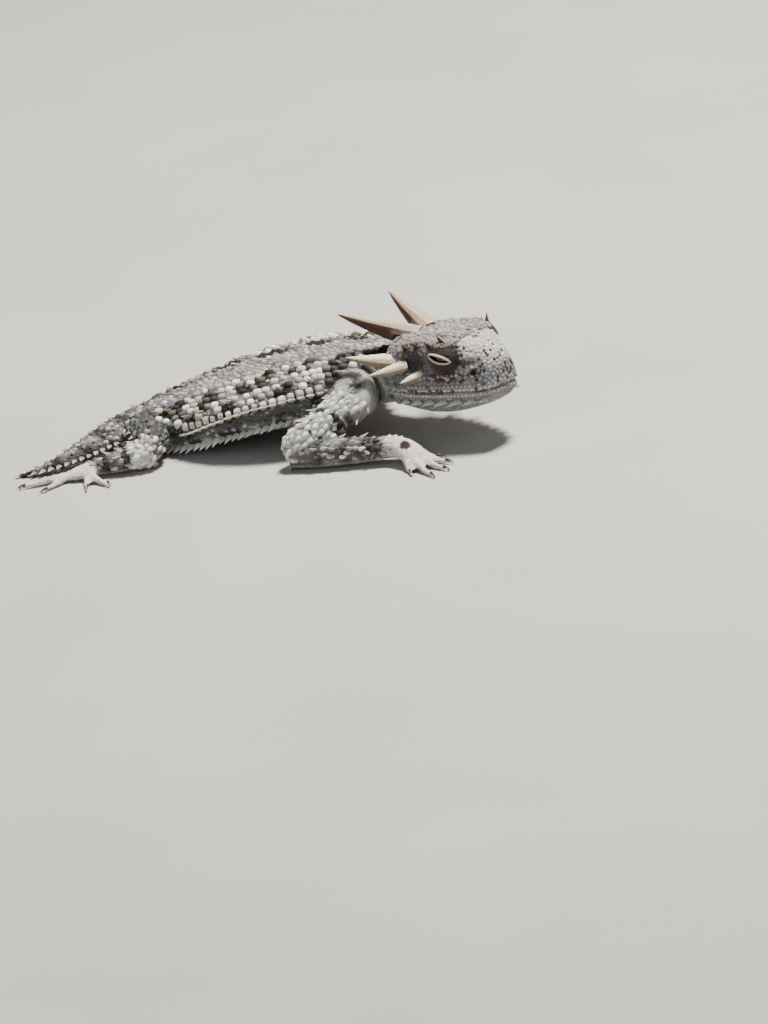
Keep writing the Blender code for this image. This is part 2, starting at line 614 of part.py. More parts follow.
def horn_shape(name, side, sizes, grow=0.0):
    """One horn, from its root in the skull to its tip, in the skull's own frame."""
    root, direction, length, radius = sizes
    root = Vector((root[0], root[1] * side, root[2]))
    axis = Vector((direction[0], direction[1] * side, direction[2])).normalized()
    across = axis.cross(Vector((0, 0, 1))).normalized()
    over = across.cross(axis)
    rings = []
    for t in HORN_STEPS:
        size = radius * (1 - max(t, 0)) ** HORN_TAPER + grow
        centre = root + axis * length * t + over * HORN_BEND * length * t * t
        ring = []
        for i in range(HORN_SIDES):
            angle = 2 * math.pi * i / HORN_SIDES
            ring.append(centre + across * size * math.cos(angle) + over * size * math.sin(angle))
        rings.append(ring)
    tip = root + axis * (length + grow) + over * HORN_BEND * length
    return loft(name, rings, far_pole=tip)


def make_horn(body, name, side, sizes, colour):
    thing = cut(horn_shape(name, side, sizes), head_cutter())
    thing.data.transform(head_matrix(body))
    return finish(thing, name, colour)


def head_cutter():
    """The skull, a gap larger all round, to seat the horns."""
    head = head_shape()
    shape = bmesh.new()
    shape.from_mesh(head.data)
    shape.normal_update()
    for vertex in shape.verts:
        vertex.co += vertex.normal * GAP
    shape.to_mesh(head.data)
    shape.free()
    return head


def digit(root, heading, length, side, radius=DIGIT_RADIUS):
    """One finger or toe, knuckled in the middle, with its claw."""
    ahead = np.array((math.cos(heading), math.sin(heading) * side, 0.0))
    root = np.asarray(root, float)
    low = radius * 0.72
    knuckle = low + max(0.35, (root[2] - low) / 2)
    rows = (
        (*(root - ahead * 1.2), radius, radius, radius),
        (*(root + ahead * length * 0.35 + np.array((0, 0, knuckle - root[2]))), radius, radius, radius),
        (*(root + ahead * length * 0.72 + np.array((0, 0, low - root[2]))), radius * 0.85, radius * 0.85, radius * 0.9),
        (*(root + ahead * length * 0.95 + np.array((0, 0, low * 0.9 - root[2]))), radius * 0.7, radius * 0.7, radius * 0.8),
    )
    rings = Tube(rows).rings(0, 3, 6, 6)
    tip = root + ahead * (length + CLAW_LENGTH)
    tip[2] = 0.25
    return loft("digit", rings, far_pole=tip)


def make_paw(name, tube, digits, side, seat, skin):
    """A hand or foot: the palm, its five digits, and a seat that fits the limb."""
    paw = limb_mesh(tube, 5)
    centre, forward, left, _, _ = tube.frame(tube.end)
    pieces = []
    for heading, length, along, across in digits:
        root = centre + forward * along + left * side * across
        pieces.append(digit(root, math.radians(heading), length, side))
    join(paw, pieces)
    cut(paw, seat)
    cut_floor(paw)
    return finish(paw, name, skin)


def limb_tubes(word, side):
    """The centre lines of one side's limb lengths, by name."""
    tables = {"upper_arm": UPPER_ARM, "forearm": FOREARM, "hand": HAND, "thigh": THIGH, "shank": SHANK, "foot": FOOT}
    return {name: Tube(mirrored(table[word], side)) for name, table in tables.items()}


def make_limb(names, word, side, body, tubes, digits, skin):
    """Three nodes: the upper length, the lower length and the hand or foot."""
    upper_name, lower_name, paw_name = names
    upper, lower, palm = (tubes[name] for name in names)
    first = join(limb_mesh(upper), rows_on_limb(upper, LIMB_ROWS[upper_name], side, (body, lower, palm)))
    cut(first, body_cutter(body))
    cut_floor(first)
    finish(first, f"{upper_name}_{word}", skin)
    second = join(limb_mesh(lower), rows_on_limb(lower, LIMB_ROWS[lower_name], side, (body, upper, palm)))
    cut(second, limb_mesh(upper, grow=GAP))
    cut_floor(second)
    finish(second, f"{lower_name}_{word}", skin)
    make_paw(f"{paw_name}_{word}", palm, digits, side, limb_mesh(lower, grow=GAP), skin)


def make_length(body, name, start, stop, scales, skin, near_pole=None):
    """One length of the trunk or tail between two cuts across the centre line, with its scales."""
    count = max(4, int((stop - start) * RINGS_PER_ROW) + 2)
    thing = loft(name, body.rings(start, stop, count, BODY_SIDES), near_pole=near_pole)
    join(thing, scales)
    cut_floor(thing)
    return finish(thing, name, skin)


def make_neck(body, start, scales, skin):
    """The neck runs from its cut across the shoulders to the back of the skull."""
    rings = body.rings(start, body.end, 4, BODY_SIDES)
    forward = body.frame(body.end)[1]
    rings.append([point + forward * NECK_OVERRUN for point in rings[-1]])
    neck = join(loft("neck", rings), scales)
    cutters = [head_cutter()]
    for side in SIDES.values():
        cutters += [horn_shape("cutter", side, sizes, GAP) for sizes in HORNS.values()]
    for cutter in cutters:
        cutter.data.transform(head_matrix(body))
    cut(neck, *cutters)
    return finish(neck, "neck", skin)


def centre_on_floor():
    """Moves the whole model so that its box is centred over the origin."""
    things = [thing for thing in bpy.data.objects if thing.type == "MESH"]
    points = np.array([v.co for thing in things for v in thing.data.vertices])
    low, high = points.min(axis=0), points.max(axis=0)
    shift = Matrix.Translation((-(low[0] + high[0]) / 2, -(low[1] + high[1]) / 2, 0))
    for thing in things:
        thing.data.transform(shift)


def main():
    random.seed(SEED)
    clear_scene()
    skin = finish_material("skin", TORSO_COLOUR, 0.85)
    limb_skin = finish_material("limb_skin", LIMB_COLOUR, 0.85)
    horn = finish_material("horn", HORN_COLOUR, 0.5)
    eye = finish_material("eye", EYE_COLOUR, 0.15)
    body = Tube(list(BODY_ROWS.values()), SQUARENESS_ABOVE, SQUARENESS_BELOW)
    tubes = {word: limb_tubes(word, side) for word, side in SIDES.items()}
    limbs = [tube for by_name in tubes.values() for tube in by_name.values()]

    split, vent, neck = body_t(TAIL_SPLIT), body_t("vent"), body_t("neck")
    half_gap = {t: 0.5 * GAP / body.speed(t) for t in (split, vent, neck)}
    tip = body.frame(0)[0] + np.array((-0.4, 0.0, -0.1))
    tail_tip_scales = rows_on_body(body, TAIL_ROWS, (0, split - SPINE_MARGIN), limbs, True)
    tail_base_scales = rows_on_body(body, TAIL_ROWS, (split + SPINE_MARGIN, vent - SPINE_MARGIN), limbs, True)
    trunk = (vent + SPINE_MARGIN, neck - SPINE_MARGIN)
    trunk_scales = rows_on_body(body, (UPPER_FRINGE, LOWER_FRINGE), trunk, limbs, True)
    trunk_scales += rows_on_body(body, DORSAL_ROWS, trunk, limbs, False, DORSAL_JITTER)
    neck_scales = rows_on_body(body, NECK_ROWS, (neck, body.end), limbs, False)
    make_length(body, "tail_tip", 0, split - half_gap[split], tail_tip_scales, skin, near_pole=tip)
    make_length(body, "tail_base", split + half_gap[split], vent - half_gap[vent], tail_base_scales, skin)
    make_length(body, "torso", vent + half_gap[vent], neck - half_gap[neck], trunk_scales, skin)
    make_neck(body, neck + half_gap[neck], neck_scales, skin)
    make_head(body, skin)
    for word, side in SIDES.items():
        make_eye(body, f"eye_{word}", side, eye)
        for horn_name, sizes in HORNS.items():
            make_horn(body, f"horn_{horn_name}_{word}", side, sizes, horn)
        make_limb(("upper_arm", "forearm", "hand"), word, side, body, tubes[word], FINGERS[word], limb_skin)
        make_limb(("thigh", "shank", "foot"), word, side, body, tubes[word], TOES[word], limb_skin)
    centre_on_floor()


main()
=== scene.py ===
"""A horned lizard at life size, resting on its belly with its chest propped up and its head turned."""

import math

import bmesh
import bpy
import numpy as np
from mathutils import Matrix, Vector, noise
from mathutils.bvhtree import BVHTree
from mathutils.kdtree import KDTree


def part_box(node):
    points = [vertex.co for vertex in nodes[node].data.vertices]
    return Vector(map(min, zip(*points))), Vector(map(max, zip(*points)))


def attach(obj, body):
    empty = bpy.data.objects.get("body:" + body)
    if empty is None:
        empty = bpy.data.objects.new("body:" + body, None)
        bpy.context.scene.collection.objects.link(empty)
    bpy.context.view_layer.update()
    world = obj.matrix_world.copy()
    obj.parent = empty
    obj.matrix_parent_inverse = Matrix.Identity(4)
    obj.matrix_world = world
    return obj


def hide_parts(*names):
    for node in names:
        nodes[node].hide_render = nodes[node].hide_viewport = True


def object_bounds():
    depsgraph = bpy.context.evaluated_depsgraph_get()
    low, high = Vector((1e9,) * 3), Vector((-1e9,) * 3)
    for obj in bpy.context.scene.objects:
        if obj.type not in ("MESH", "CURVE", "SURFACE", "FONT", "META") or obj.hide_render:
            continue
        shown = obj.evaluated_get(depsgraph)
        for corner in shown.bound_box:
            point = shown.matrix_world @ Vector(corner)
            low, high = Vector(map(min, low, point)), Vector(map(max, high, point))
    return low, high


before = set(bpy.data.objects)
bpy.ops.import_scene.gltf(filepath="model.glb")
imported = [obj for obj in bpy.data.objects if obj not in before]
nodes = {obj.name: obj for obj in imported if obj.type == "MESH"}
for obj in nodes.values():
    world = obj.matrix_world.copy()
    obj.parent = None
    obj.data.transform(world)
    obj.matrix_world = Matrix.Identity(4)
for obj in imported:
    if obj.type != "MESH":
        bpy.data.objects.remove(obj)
cad_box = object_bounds()
rng = np.random.default_rng(11)

# Lengths below are millimetres, except in the camera, the lights, the floor and the reliefs of the finishes.
MM = 0.001
LIMITS = np.array(cad_box) / MM
UP = np.array((0.0, 0.0, 1.0))

# Camera: angles in degrees, and the pixel of the photograph that the right eye's middle falls on.
CAMERA_AZIMUTH = 18
CAMERA_ELEVATION = 20
CAMERA_ROLL = -8.4
CAMERA_DISTANCE = 1.2
PIXELS_PER_METRE = 5700
PICTURE_WIDTH, PICTURE_HEIGHT = 768, 1024
EYE_IN_PICTURE = (443, 357)
SENSOR = 36

# Lights: name, azimuth and elevation in degrees, distance and size in metres, watts and colour.
LIGHTS = (("sun_box", 132, 72, 0.75, 0.14, 18.0, (1.0, 0.965, 0.91)),
          ("fill_box", -10, 30, 0.9, 0.8, 1.2, (0.85, 0.92, 1.0)))
SKY_COLOUR = (0.86, 0.92, 1.0, 1)
SKY_STRENGTH = 0.23
FLOOR_SIZE = 8

# Kinds of node, which are the nodes' names without their side.
SIDES = {"right": -1, "left": 1}
BODY = ("tail_tip", "tail_base", "torso", "neck")
TRUNK = BODY + ("head",)
BACK = ("torso", "tail_base", "tail_tip")
LIMBS = (("upper_arm", "forearm", "hand"), ("thigh", "shank", "foot"))
LIMB_NAMES = ("upper_arm", "forearm", "thigh", "shank")
SLEEVES = ("upper_arm", "thigh")
PAWS = ("hand", "foot")
FLESH = [name for name in nodes if not name.startswith(("eye", "horn"))]
HORNS = [name for name in nodes if name.startswith("horn")]

# Skin: how far the nodes are swollen to close the gaps between them, how deep it then lies under its coat,
# and how much of each kind of node melts into its neighbours.
VOXEL = 0.34
SEAM_FILL = 0.22
COAT_DEPTH = 0.14
SEAM_REACH = 0.5
LEAST_HEIGHT = 0.02
MELT_ROUNDS = 34
MELT_BLUR = 12
MELT = {"torso": 1.0, "neck": 1.0, "tail_base": 0.9, "tail_tip": 0.45, "head": 0.16, "upper_arm": 0.75,
        "forearm": 0.7, "hand": 0.14, "thigh": 0.75, "shank": 0.6, "foot": 0.14}

# A point of a CAD node is a spine's tip where its faces' corners add up to less than this, in radians.
TIP_ANGLE = 4.1
LEAST_SPINE = 0.8
DIGITS = 5

# The line along the trunk: shares of the way from tail to neck where the torso is sliced, how far from a
# slice its points may lie, steps of the line between two places, the step at which its half width is
# measured, and how many points are compared with it at a time.
SLICES = (0.17, 0.34, 0.5, 0.66, 0.83)
SLICE_REACH = 2.0
LINE_STEPS = 24
WIDTH_STEP = 2.0
CHUNK = 4000

# Places on the head, measured from the middle between the eyes: on towards the snout, to its left and up.
HEAD_RAISE = math.radians(3.5)
SKULL_REACH = 13.0
SKULL_MIDDLE = 3.5
MOUTH_LINE = ((-11.5, -5.9), (-5.0, -6.1), (0.0, -6.2), (5.0, -6.3), (8.0, -6.1), (10.0, -5.7))
BROW_HEIGHT = 2.6
NOSTRIL = np.array((5.7, 4.8, -2.8))
NOSTRIL_WIDTH = 0.55
CROWN_REAR = -9.2
CREASE_PLACE = 2.2
CREASE_BOW = 0.03

# Dark patches by the eye: middle, forward and up, then half length and half height.
UNDER_EYE = (0.4, -3.4, 2.8, 0.9)
AHEAD_OF_EYE = (4.2, -0.9, 2.0, 0.7)

# Eyes and lids. The ring that becomes a rim has a tube of RIM_TUBE before it is shaped.
EYE_OUT = 5.6
EYE_FORWARD = math.radians(20)
EYE_RAISE = math.radians(7)
LID_TILT = math.radians(20)
LID_REACH = 3.5
LID_BALL = 2.9
SLIT_HALF_LENGTH = 2.1
SLIT_HALF_HEIGHT = 0.62
RIM_TUBE = 0.1
RIM_WIDTH = 0.44
RIM_THICKNESS = 0.36

# Horns and claws. HORN_FOOT is the share of a horn's length that is carried down into the skin by HORN_SINK.
HORN_VOXEL = 0.13
HORN_RING = 0.62
HORN_SINK = 1.3
HORN_FOOT = 0.11
COLLAR_STEP = 0.8
COLLAR_ROOM = 0.15
COLLAR_GAP = 1.6
COLLAR_RADIUS = COLLAR_STEP * 0.55
CLAW_LENGTH = 1.84
CLAW_RADIUS = 0.3
CLAW_TIP = 0.02
CLAW_ARCH = 0.22
CLAW_ROOT_HEIGHT = 0.55
CLAW_LEAST_HEIGHT = 0.03
CLAW_STEPS = (-0.3, 0.0, 0.3, 0.55)
CLAW_SMOOTH = math.radians(50)

# Scales: places tried for each square millimetre, how closely they pack, how much of the unwrap one takes,
# the share of the half width where the flank starts, the radius from which a scale is a block, the share of
# the shank that is knee, and how loose the skin is that has fine scales only.
CANDIDATES = 12
OVERLAP = 0.84
PATCH = 0.003
FLANK_EDGE = 0.42
BLOCK_RADIUS = 0.6
KNEE_END = 0.25
LOOSE = 0.5
SCALE_SMOOTH = math.radians(45)

# Tilt of each form of scale, and its size along its three axes for a unit of radius.
SCALE_SHAPES = {"block": (0.2, (1.1, 1.0, 1.25)), "flake": (0.16, (1.3, 1.05, 0.8)),
                "keeled": (0.14, (1.15, 1.0, 0.75)), "plate": (0.1, (1.12, 1.0, 0.6)),
                "granule": (0.0, (1.0, 1.0, 0.72)), "fold": (0.0, (1.15, 1.15, 0.4))}
ROW_SHAPE = (0.05, (1.0, 0.95, 0.8))

# How deep scales are set in the skin, and how much room those placed one by one keep from the others.
SCALE_SET = 0.02
ROW_SET = 0.03
ROW_ROOM = 0.85
FLANK_ROOM = 1.5
SPINE_FOOT = 0.4
WIDEST_FOOT = 1.4

# Rows of large scales on the flanks: shares of the half width, then places along the back.
FLANK_ROWS = (0.46, 0.58, 0.7, 0.81, 0.9)
FLANK_START = 8.0
FLANK_STOP = 54.0
FLANK_STEP = 1.85
FLANK_RADII = (0.74, 1.04)
FRINGE_BLOCK = 0.9

# Rows along each side of the head: height over the mouth line, step, radius, first and last place, then the
# height that stands in for the mouth line, if any, and how steeply the row is looked for from above.
HEAD_ROWS = ((0.52, 0.68, 0.36, -7.5, 9.2, None, 0.0), (1.22, 0.74, 0.37, -6.0, 8.4, None, 0.0),
             (-0.52, 0.64, 0.33, -7.5, 9.2, None, 0.0), (0.0, 0.86, 0.52, -4.0, 4.6, 2.6, 0.7),
             (0.0, 0.8, 0.42, -3.4, 3.6, -3.1, 0.0))
SIDE_PROBE = 20
TOP_PROBE = 40

# Spines: width, thickness and how much of the CAD spine's length they keep, for the fringes after their step.
SPINE_STEPS = (0.0, 0.3, 0.6, 0.82)
SPINE_ROOM = 1.2
SPINE_SHAPES = {"single": (0.85, 0.8, 0.55), "limb": (0.9, 0.7, 0.7)}
FRINGES = {"upper": (1.75, 1.05, 0.75, 0.52), "lower": (1.45, 1.35, 0.6, 0.95), "tail": (1.5, 1.0, 0.7, 0.8)}
FRINGE_RISE = 0.4
FRINGE_SPREAD = 0.55
HEAD_SPINE = (1.1, 1.0)

# Shields of the chin: how far they hang under the mouth's line, how they lean (forward, out and up), their
# width and thickness, then each one's place along the head and its length.
SHIELD_DROP = 1.6
SHIELD_LEAN = (-0.75, 0.85, -0.4)
SHIELD_SHAPE = (2.0, 0.7)
SHIELD_PLACES = ((-7.6, 1.3), (-5.2, 1.6), (-2.8, 1.8), (-0.4, 2.0), (2.2, 2.1), (4.6, 1.9), (6.8, 1.4))

COATS = {"scales_back": ("torso",), "scales_head": ("head",), "scales_neck_and_tail": ("neck", "tail"),
         "scales_arms": ("upper_arm", "forearm", "hand"), "scales_legs": ("thigh", "shank", "foot")}

# Colours.
ASH = np.array((0.14, 0.134, 0.125))
PALE = np.array((0.70, 0.68, 0.64))
CHARCOAL = np.array((0.026, 0.021, 0.019))
BROWN = np.array((0.075, 0.038, 0.028))
CREAM = np.array((0.66, 0.56, 0.40))
PINKISH = np.array((0.27, 0.238, 0.22))
SLATE = np.array((0.12, 0.12, 0.125))
BELLY_WHITE = np.array((0.60, 0.585, 0.54))
JAW_GREY = np.array((0.26, 0.268, 0.28))
SNOUT_GREY = np.array((0.27, 0.275, 0.283))
FOLD_GREY = np.array((0.19, 0.188, 0.19))
LID_BROWN = np.array((0.036, 0.023, 0.019))
TAN = np.array((0.36, 0.27, 0.18))
PIT_BROWN = np.array((0.05, 0.036, 0.032))
PLUM = np.array((0.04, 0.019, 0.02))
RUST = np.array((0.13, 0.065, 0.04))
SLEEVE_WHITE = np.array((0.84, 0.83, 0.79))
PAW_CREAM = np.array((0.86, 0.81, 0.72))
FRINGE_PALE = np.array((0.78, 0.73, 0.62))
SHIELD_WHITE = np.array((0.92, 0.91, 0.87))

# How light the skin between the scales is painted, as painted shade in the gaps between the scales:
# SKIN_SHADE on the back and the sleeves, BARE_SHADE elsewhere. BACK_SHADE is the darker own tone of the
# back's upper scales. A tint under DARK is part of a mark.
SKIN_SHADE = 0.35
BARE_SHADE = 0.7
BACK_SHADE = 0.8
DARK = 0.1

# Dark marks on each side of the back: distance from the nape, share of the half width, then half their size.
BACK_MARKS = ((21.0, 0.38, 2.6, 0.11), (29.8, 0.44, 3.7, 0.16), (39.2, 0.52, 3.3, 0.17),
              (47.8, 0.52, 2.8, 0.19), (24.5, 0.72, 1.9, 0.08), (34.0, 0.76, 1.8, 0.08),
              (43.5, 0.80, 1.6, 0.09))
NAPE_MARKS = ((13.0, 0.50, 3.0, 0.26), (5.6, 0.50, 4.2, 0.18))
TAIL_BAND = 5.2
TAIL_START = 52.0
HIPS_START = 46.0
MIDLINE_LEAN = 0.17
# Where the groove along the flank runs, by how far its skin faces up: middle and half width. The skin is sunk
# there and painted charcoal as shade.
GROOVE = (0.12, 0.16)
FOLDS_END = 12.0
FOLD_WIDTH = 2.2
FOLD_HEIGHT = 0.34

# Dark bars across the limbs: middle and half width as shares of the way along each.
LIMB_BARS = {"upper_arm": ((0.5, 0.04), (0.85, 0.04)),
             "forearm": ((0.1, 0.04), (0.4, 0.06), (0.58, 0.04), (0.66, 0.03), (0.73, 0.03)),
             "thigh": ((0.3, 0.07), (0.75, 0.07)), "shank": ((0.35, 0.1), (0.75, 0.08))}

# The spot on each hand: how far from the wrist to the fingertips, how far out, and its radius.
HAND_SPOT = 0.2
SPOT_OUT = 0.8
SPOT_RADIUS = 1.1


def unit(vectors):
    """Vectors made one unit long."""
    return vectors / np.maximum(np.linalg.norm(vectors, axis=-1, keepdims=True), 1e-9)


def smoothstep(low, high, value):
    """0 up to low, rising smoothly to 1 at high."""
    t = np.clip((value - low) / (high - low), 0, 1)
    return t * t * (3 - 2 * t)


def fade(low, high, value):
    """1 up to low, falling smoothly to 0 at high."""
    return 1 - smoothstep(low, high, value)


def bump(centre, half, value):
    """1 at centre, falling smoothly to 0 at half away from it."""
    return fade(0, half, np.abs(value - centre))


def oval(along, above, middle_along, middle_above, half_length, half_height):
    """Distance from an oval's middle, as a share of the way to its edge."""
    return np.hypot((along - middle_along) / half_length, (above - middle_above) / half_height)


def grain(points, size, seed=0.0):
    """Soft noise from about -1 to 1 whose lumps are size across."""
    shift = Vector((seed, seed * 1.7, seed * 0.6))
    return np.array([noise.noise(Vector(point) / size + shift) for point in points]) * 1.6


def direction(azimuth, elevation):
    """The way out from the animal, in degrees ahead of its right side and above the floor."""
    turn, rise = math.radians(azimuth), math.radians(elevation)
    return np.array((math.sin(turn) * math.cos(rise), -math.cos(turn) * math.cos(rise), math.sin(rise)))


def first_of(default, *rules):
    """For each place the value of the first rule, a mask and its value, that holds there."""
    masks, values = zip(*rules)
    return np.select(masks, values, default)


def kind_of(name):
    """A node's name without its side."""
    return name.removesuffix("_right").removesuffix("_left")


def deselect():
    bpy.ops.object.select_all(action="DESELECT")


def pick(thing):
    deselect()
    thing.select_set(True)
    bpy.context.view_layer.objects.active = thing


def new_object(name, data):
    thing = bpy.data.objects.new(name, data)
    bpy.context.scene.collection.objects.link(thing)
    return thing


def modify(thing, kind, **settings):
    """Adds a modifier and applies it."""
    modifier = thing.modifiers.new(kind.lower(), kind)
    for name, value in settings.items():
        setattr(modifier, name, value)
    pick(thing)
    bpy.ops.object.modifier_apply(modifier=modifier.name)


def face_outward(thing):
    """Turns the faces of closed shapes outward."""
    pick(thing)
    bpy.ops.object.mode_set(mode="EDIT")
    bpy.ops.mesh.select_all(action="SELECT")
    bpy.ops.mesh.normals_make_consistent(inside=False)
    bpy.ops.object.mode_set(mode="OBJECT")


def cut_level(thing, heights):
    """Cuts the faces of a shape level at each height."""
    pick(thing)
    bpy.ops.object.mode_set(mode="EDIT")
    for height in heights:
        bpy.ops.mesh.select_all(action="SELECT")
        bpy.ops.mesh.bisect(plane_co=(0, 0, height), plane_no=(0, 0, 1))
    bpy.ops.object.mode_set(mode="OBJECT")


def read(mesh, what):
    values = np.empty(len(mesh.vertices) * 3)
    mesh.vertices.foreach_get(what, values)
    return values.reshape(-1, 3)


def surface(thing):
    """Points, in millimetres, and normals of an object's mesh."""
    return read(thing.data, "co") / MM, read(thing.data, "normal")


def write_points(mesh, points):
    mesh.vertices.foreach_set("co", (points * MM).ravel())
    mesh.update()


def mark(mesh, name, values):
    """Gives each point of a mesh a number under a name, for its finish to read."""
    mesh.attributes.new(name, "FLOAT", "POINT").data.foreach_set("value", values)


def paint(mesh, tints):
    """Gives each point of a mesh its colour, for its finish to read."""
    full = np.column_stack((tints, np.ones(len(tints))))
    mesh.attributes.new("tint", "FLOAT_COLOR", "POINT").data.foreach_set("color", full.ravel())


def triangles(name):
    """A CAD node's points in millimetres, each once, and its triangles."""
    mesh = nodes[name].data
    points, index = np.unique((read(mesh, "co") / MM).round(3), axis=0, return_inverse=True)
    index = index.ravel()
    faces = [tuple(int(index[i]) for i in face.vertices) for face in mesh.polygons]
    return points, [face for face in faces if len(set(face)) == 3]


def spines_of(points, faces):
    """Number, root and tip of each spine of a closed shape."""
    corners = np.zeros(len(points))
    facing = np.zeros((len(points), 3))
    around = [set() for _ in points]
    for face in faces:
        a, b, c = points[list(face)]
        normal = unit(np.cross(b - a, c - a))
        for i, here, ahead, behind in ((0, a, b, c), (1, b, c, a), (2, c, a, b)):
            turn = np.dot(unit(ahead - here), unit(behind - here))
            corners[face[i]] += math.acos(np.clip(turn, -1, 1))
            facing[face[i]] += normal
            around[face[i]].update(face)
    found = []
    for i in np.flatnonzero(corners < TIP_ANGLE):
        root = points[sorted(around[i] - {i})].mean(axis=0)
        if np.dot(points[i] - root, facing[i]) > 0 and np.linalg.norm(points[i] - root) > LEAST_SPINE:
            found.append((i, root, points[i]))
    return found


class Solids:
    """The CAD nodes of flesh: which one a point lies nearest, where they meet, and where their spines are."""

    def __init__(self):
        self.shapes = {name: triangles(name) for name in FLESH}
        self.trees = {name: BVHTree.FromPolygons(*shape) for name, shape in self.shapes.items()}
        self.tips = {name: spines_of(*shape) for name, shape in self.shapes.items()}
        points, faces, self.owner = [], [], []
        for number, (corners, own_faces) in enumerate(self.shapes.values()):
            start = len(points)
            points += list(corners)
            faces += [tuple(i + start for i in face) for face in own_faces]
            self.owner += [number] * len(own_faces)
        self.tree = BVHTree.FromPolygons(points, faces)

    def regions(self, points):
        """The number in FLESH of the node nearest each point."""
        return np.array([self.owner[self.tree.find_nearest(point)[2]] for point in points])

    def names_at(self, points):
        return np.array(FLESH)[self.regions(points)]

    def seam(self, first, second):
        """The middle of the cut where two neighbouring nodes meet."""
        near = [p for p in self.shapes[first][0] if self.trees[second].find_nearest(p)[3] < SEAM_REACH]
        return (np.min(near, axis=0) + np.max(near, axis=0)) / 2

    def without_spines(self, name):
        """A node's points, with each spine's tip drawn back to its root."""
        points = self.shapes[name][0].copy()
        for i, root, _ in self.tips[name]:
            points[i] = root
        return points


class Line:
    """A smooth line through points, for places along it and beside it."""

    def __init__(self, points):
        points = np.asarray(points, float)
        padded = np.vstack((2 * points[0] - points[1], points, 2 * points[-1] - points[-2]))
        path = []
        for i in range(len(points) - 1):
            p, a, b, q = padded[i:i + 4]
            for u in np.arange(LINE_STEPS) / LINE_STEPS:
                bend = 2 * p - 5 * a + 4 * b - q + u * (3 * (a - b) + q - p)
                path.append(a + 0.5 * u * (b - p + u * bend))
        self.points = np.array(path + [points[-1]])
        self.ahead = unit(np.gradient(self.points, axis=0))
        self.left = unit(np.cross(UP, self.ahead))
        strides = np.linalg.norm(np.diff(self.points, axis=0), axis=1)
        self.length = np.concatenate(((0,), np.cumsum(strides)))

    def nearest(self, points):
        """The index on the line of the place nearest each point, by its place seen from above."""
        found = []
        for start in range(0, len(points), CHUNK):
            offsets = points[start:start + CHUNK, None, :2] - self.points[None, :, :2]
            found.append((offsets ** 2).sum(axis=2).argmin(axis=1))
        return np.concatenate(found)


def trunk_places():
    """Middles of slices from the tail's tip to the nape."""
    tail, torso = (solids.shapes[name][0] for name in ("tail_tip", "torso"))
    tail_joint = solids.seam("tail_tip", "tail_base")
    rump = solids.seam("torso", "tail_base")
    shoulders = solids.seam("torso", "neck")
    places = [tail[np.linalg.norm(tail - tail_joint, axis=1).argmax()], tail_joint, rump]
    along = unit(shoulders - rump)
    beside = unit(np.cross(UP, along))
    reach = (torso - rump) @ along
    for share in SLICES:
        here = np.linalg.norm(shoulders - rump) * share
        out = (torso[np.abs(reach - here) < SLICE_REACH] - rump) @ beside
        places.append(rump + along * here + beside * (out.min() + out.max()) / 2)
    return places + [shoulders, solids.seam("head", "neck")]


class Pose:
    """Lines and axes of the animal as it lies, all measured on the CAD nodes."""

    def __init__(self):
        eyes = {side: np.mean(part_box(f"eye_{side}"), axis=0) / MM for side in SIDES}
        self.brow = (eyes["right"] + eyes["left"]) / 2
        self.across = unit(eyes["left"] - eyes["right"])
        level = unit(np.cross(self.across, UP))
        self.ahead = level * math.cos(HEAD_RAISE) + np.cross(level, self.across) * math.sin(HEAD_RAISE)
        self.above = np.cross(self.ahead, self.across)
        self.trunk = Line(trunk_places())
        self.limb_lines = {}
        for side in SIDES:
            for limb in LIMBS:
                self.add_limb(*(f"{name}_{side}" for name in limb))
        self.shoulders = [self.limb_lines[f"upper_arm_{side}"][0][0] for side in SIDES]
        self.widths = self.trunk_widths()

    def trunk_widths(self):
        """Places along the back, and the trunk's half width abreast of each without its spines."""
        widest = np.zeros(int(self.trunk.length[-1] / WIDTH_STEP) + 1)
        for name in FLESH:
            if name.startswith(BODY):
                points = solids.without_spines(name)
                near = self.trunk.nearest(points)
                out = np.abs(((points - self.trunk.points[near]) * self.trunk.left[near]).sum(axis=1))
                slot = ((self.trunk.length[-1] - self.trunk.length[near]) / WIDTH_STEP).astype(int)
                np.maximum.at(widest, slot, out)
        smooth = np.convolve(np.pad(widest, 1, mode="edge"), (0.25, 0.5, 0.25), mode="valid")
        return (np.arange(len(smooth)) + 0.5) * WIDTH_STEP, smooth

    def add_limb(self, upper, lower, paw):
        """The lines of a limb's two bones, and one from the wrist to each tip of its digits."""
        root = solids.seam(upper, "torso")
        bend = solids.seam(lower, upper)
        wrist = solids.seam(paw, lower)
        self.limb_lines[upper] = [(root, bend)]
        self.limb_lines[lower] = [(bend, wrist)]
        tips = sorted((tip for _, _, tip in solids.tips[paw]), key=lambda tip: -np.linalg.norm(tip - wrist))
        self.limb_lines[paw] = [(wrist, tip) for tip in tips[:DIGITS]]

    def in_head(self, points):
        """Points as distances from the middle between the eyes: on to the snout, left and up."""
        offset = points - self.brow
        return np.stack((offset @ self.ahead, offset @ self.across, offset @ self.above), axis=-1)

    def from_head(self, place):
        return self.brow + self.ahead * place[0] + self.across * place[1] + self.above * place[2]

    def head_way(self, way):
        return unit(self.ahead * way[0] + self.across * way[1] + self.above * way[2])


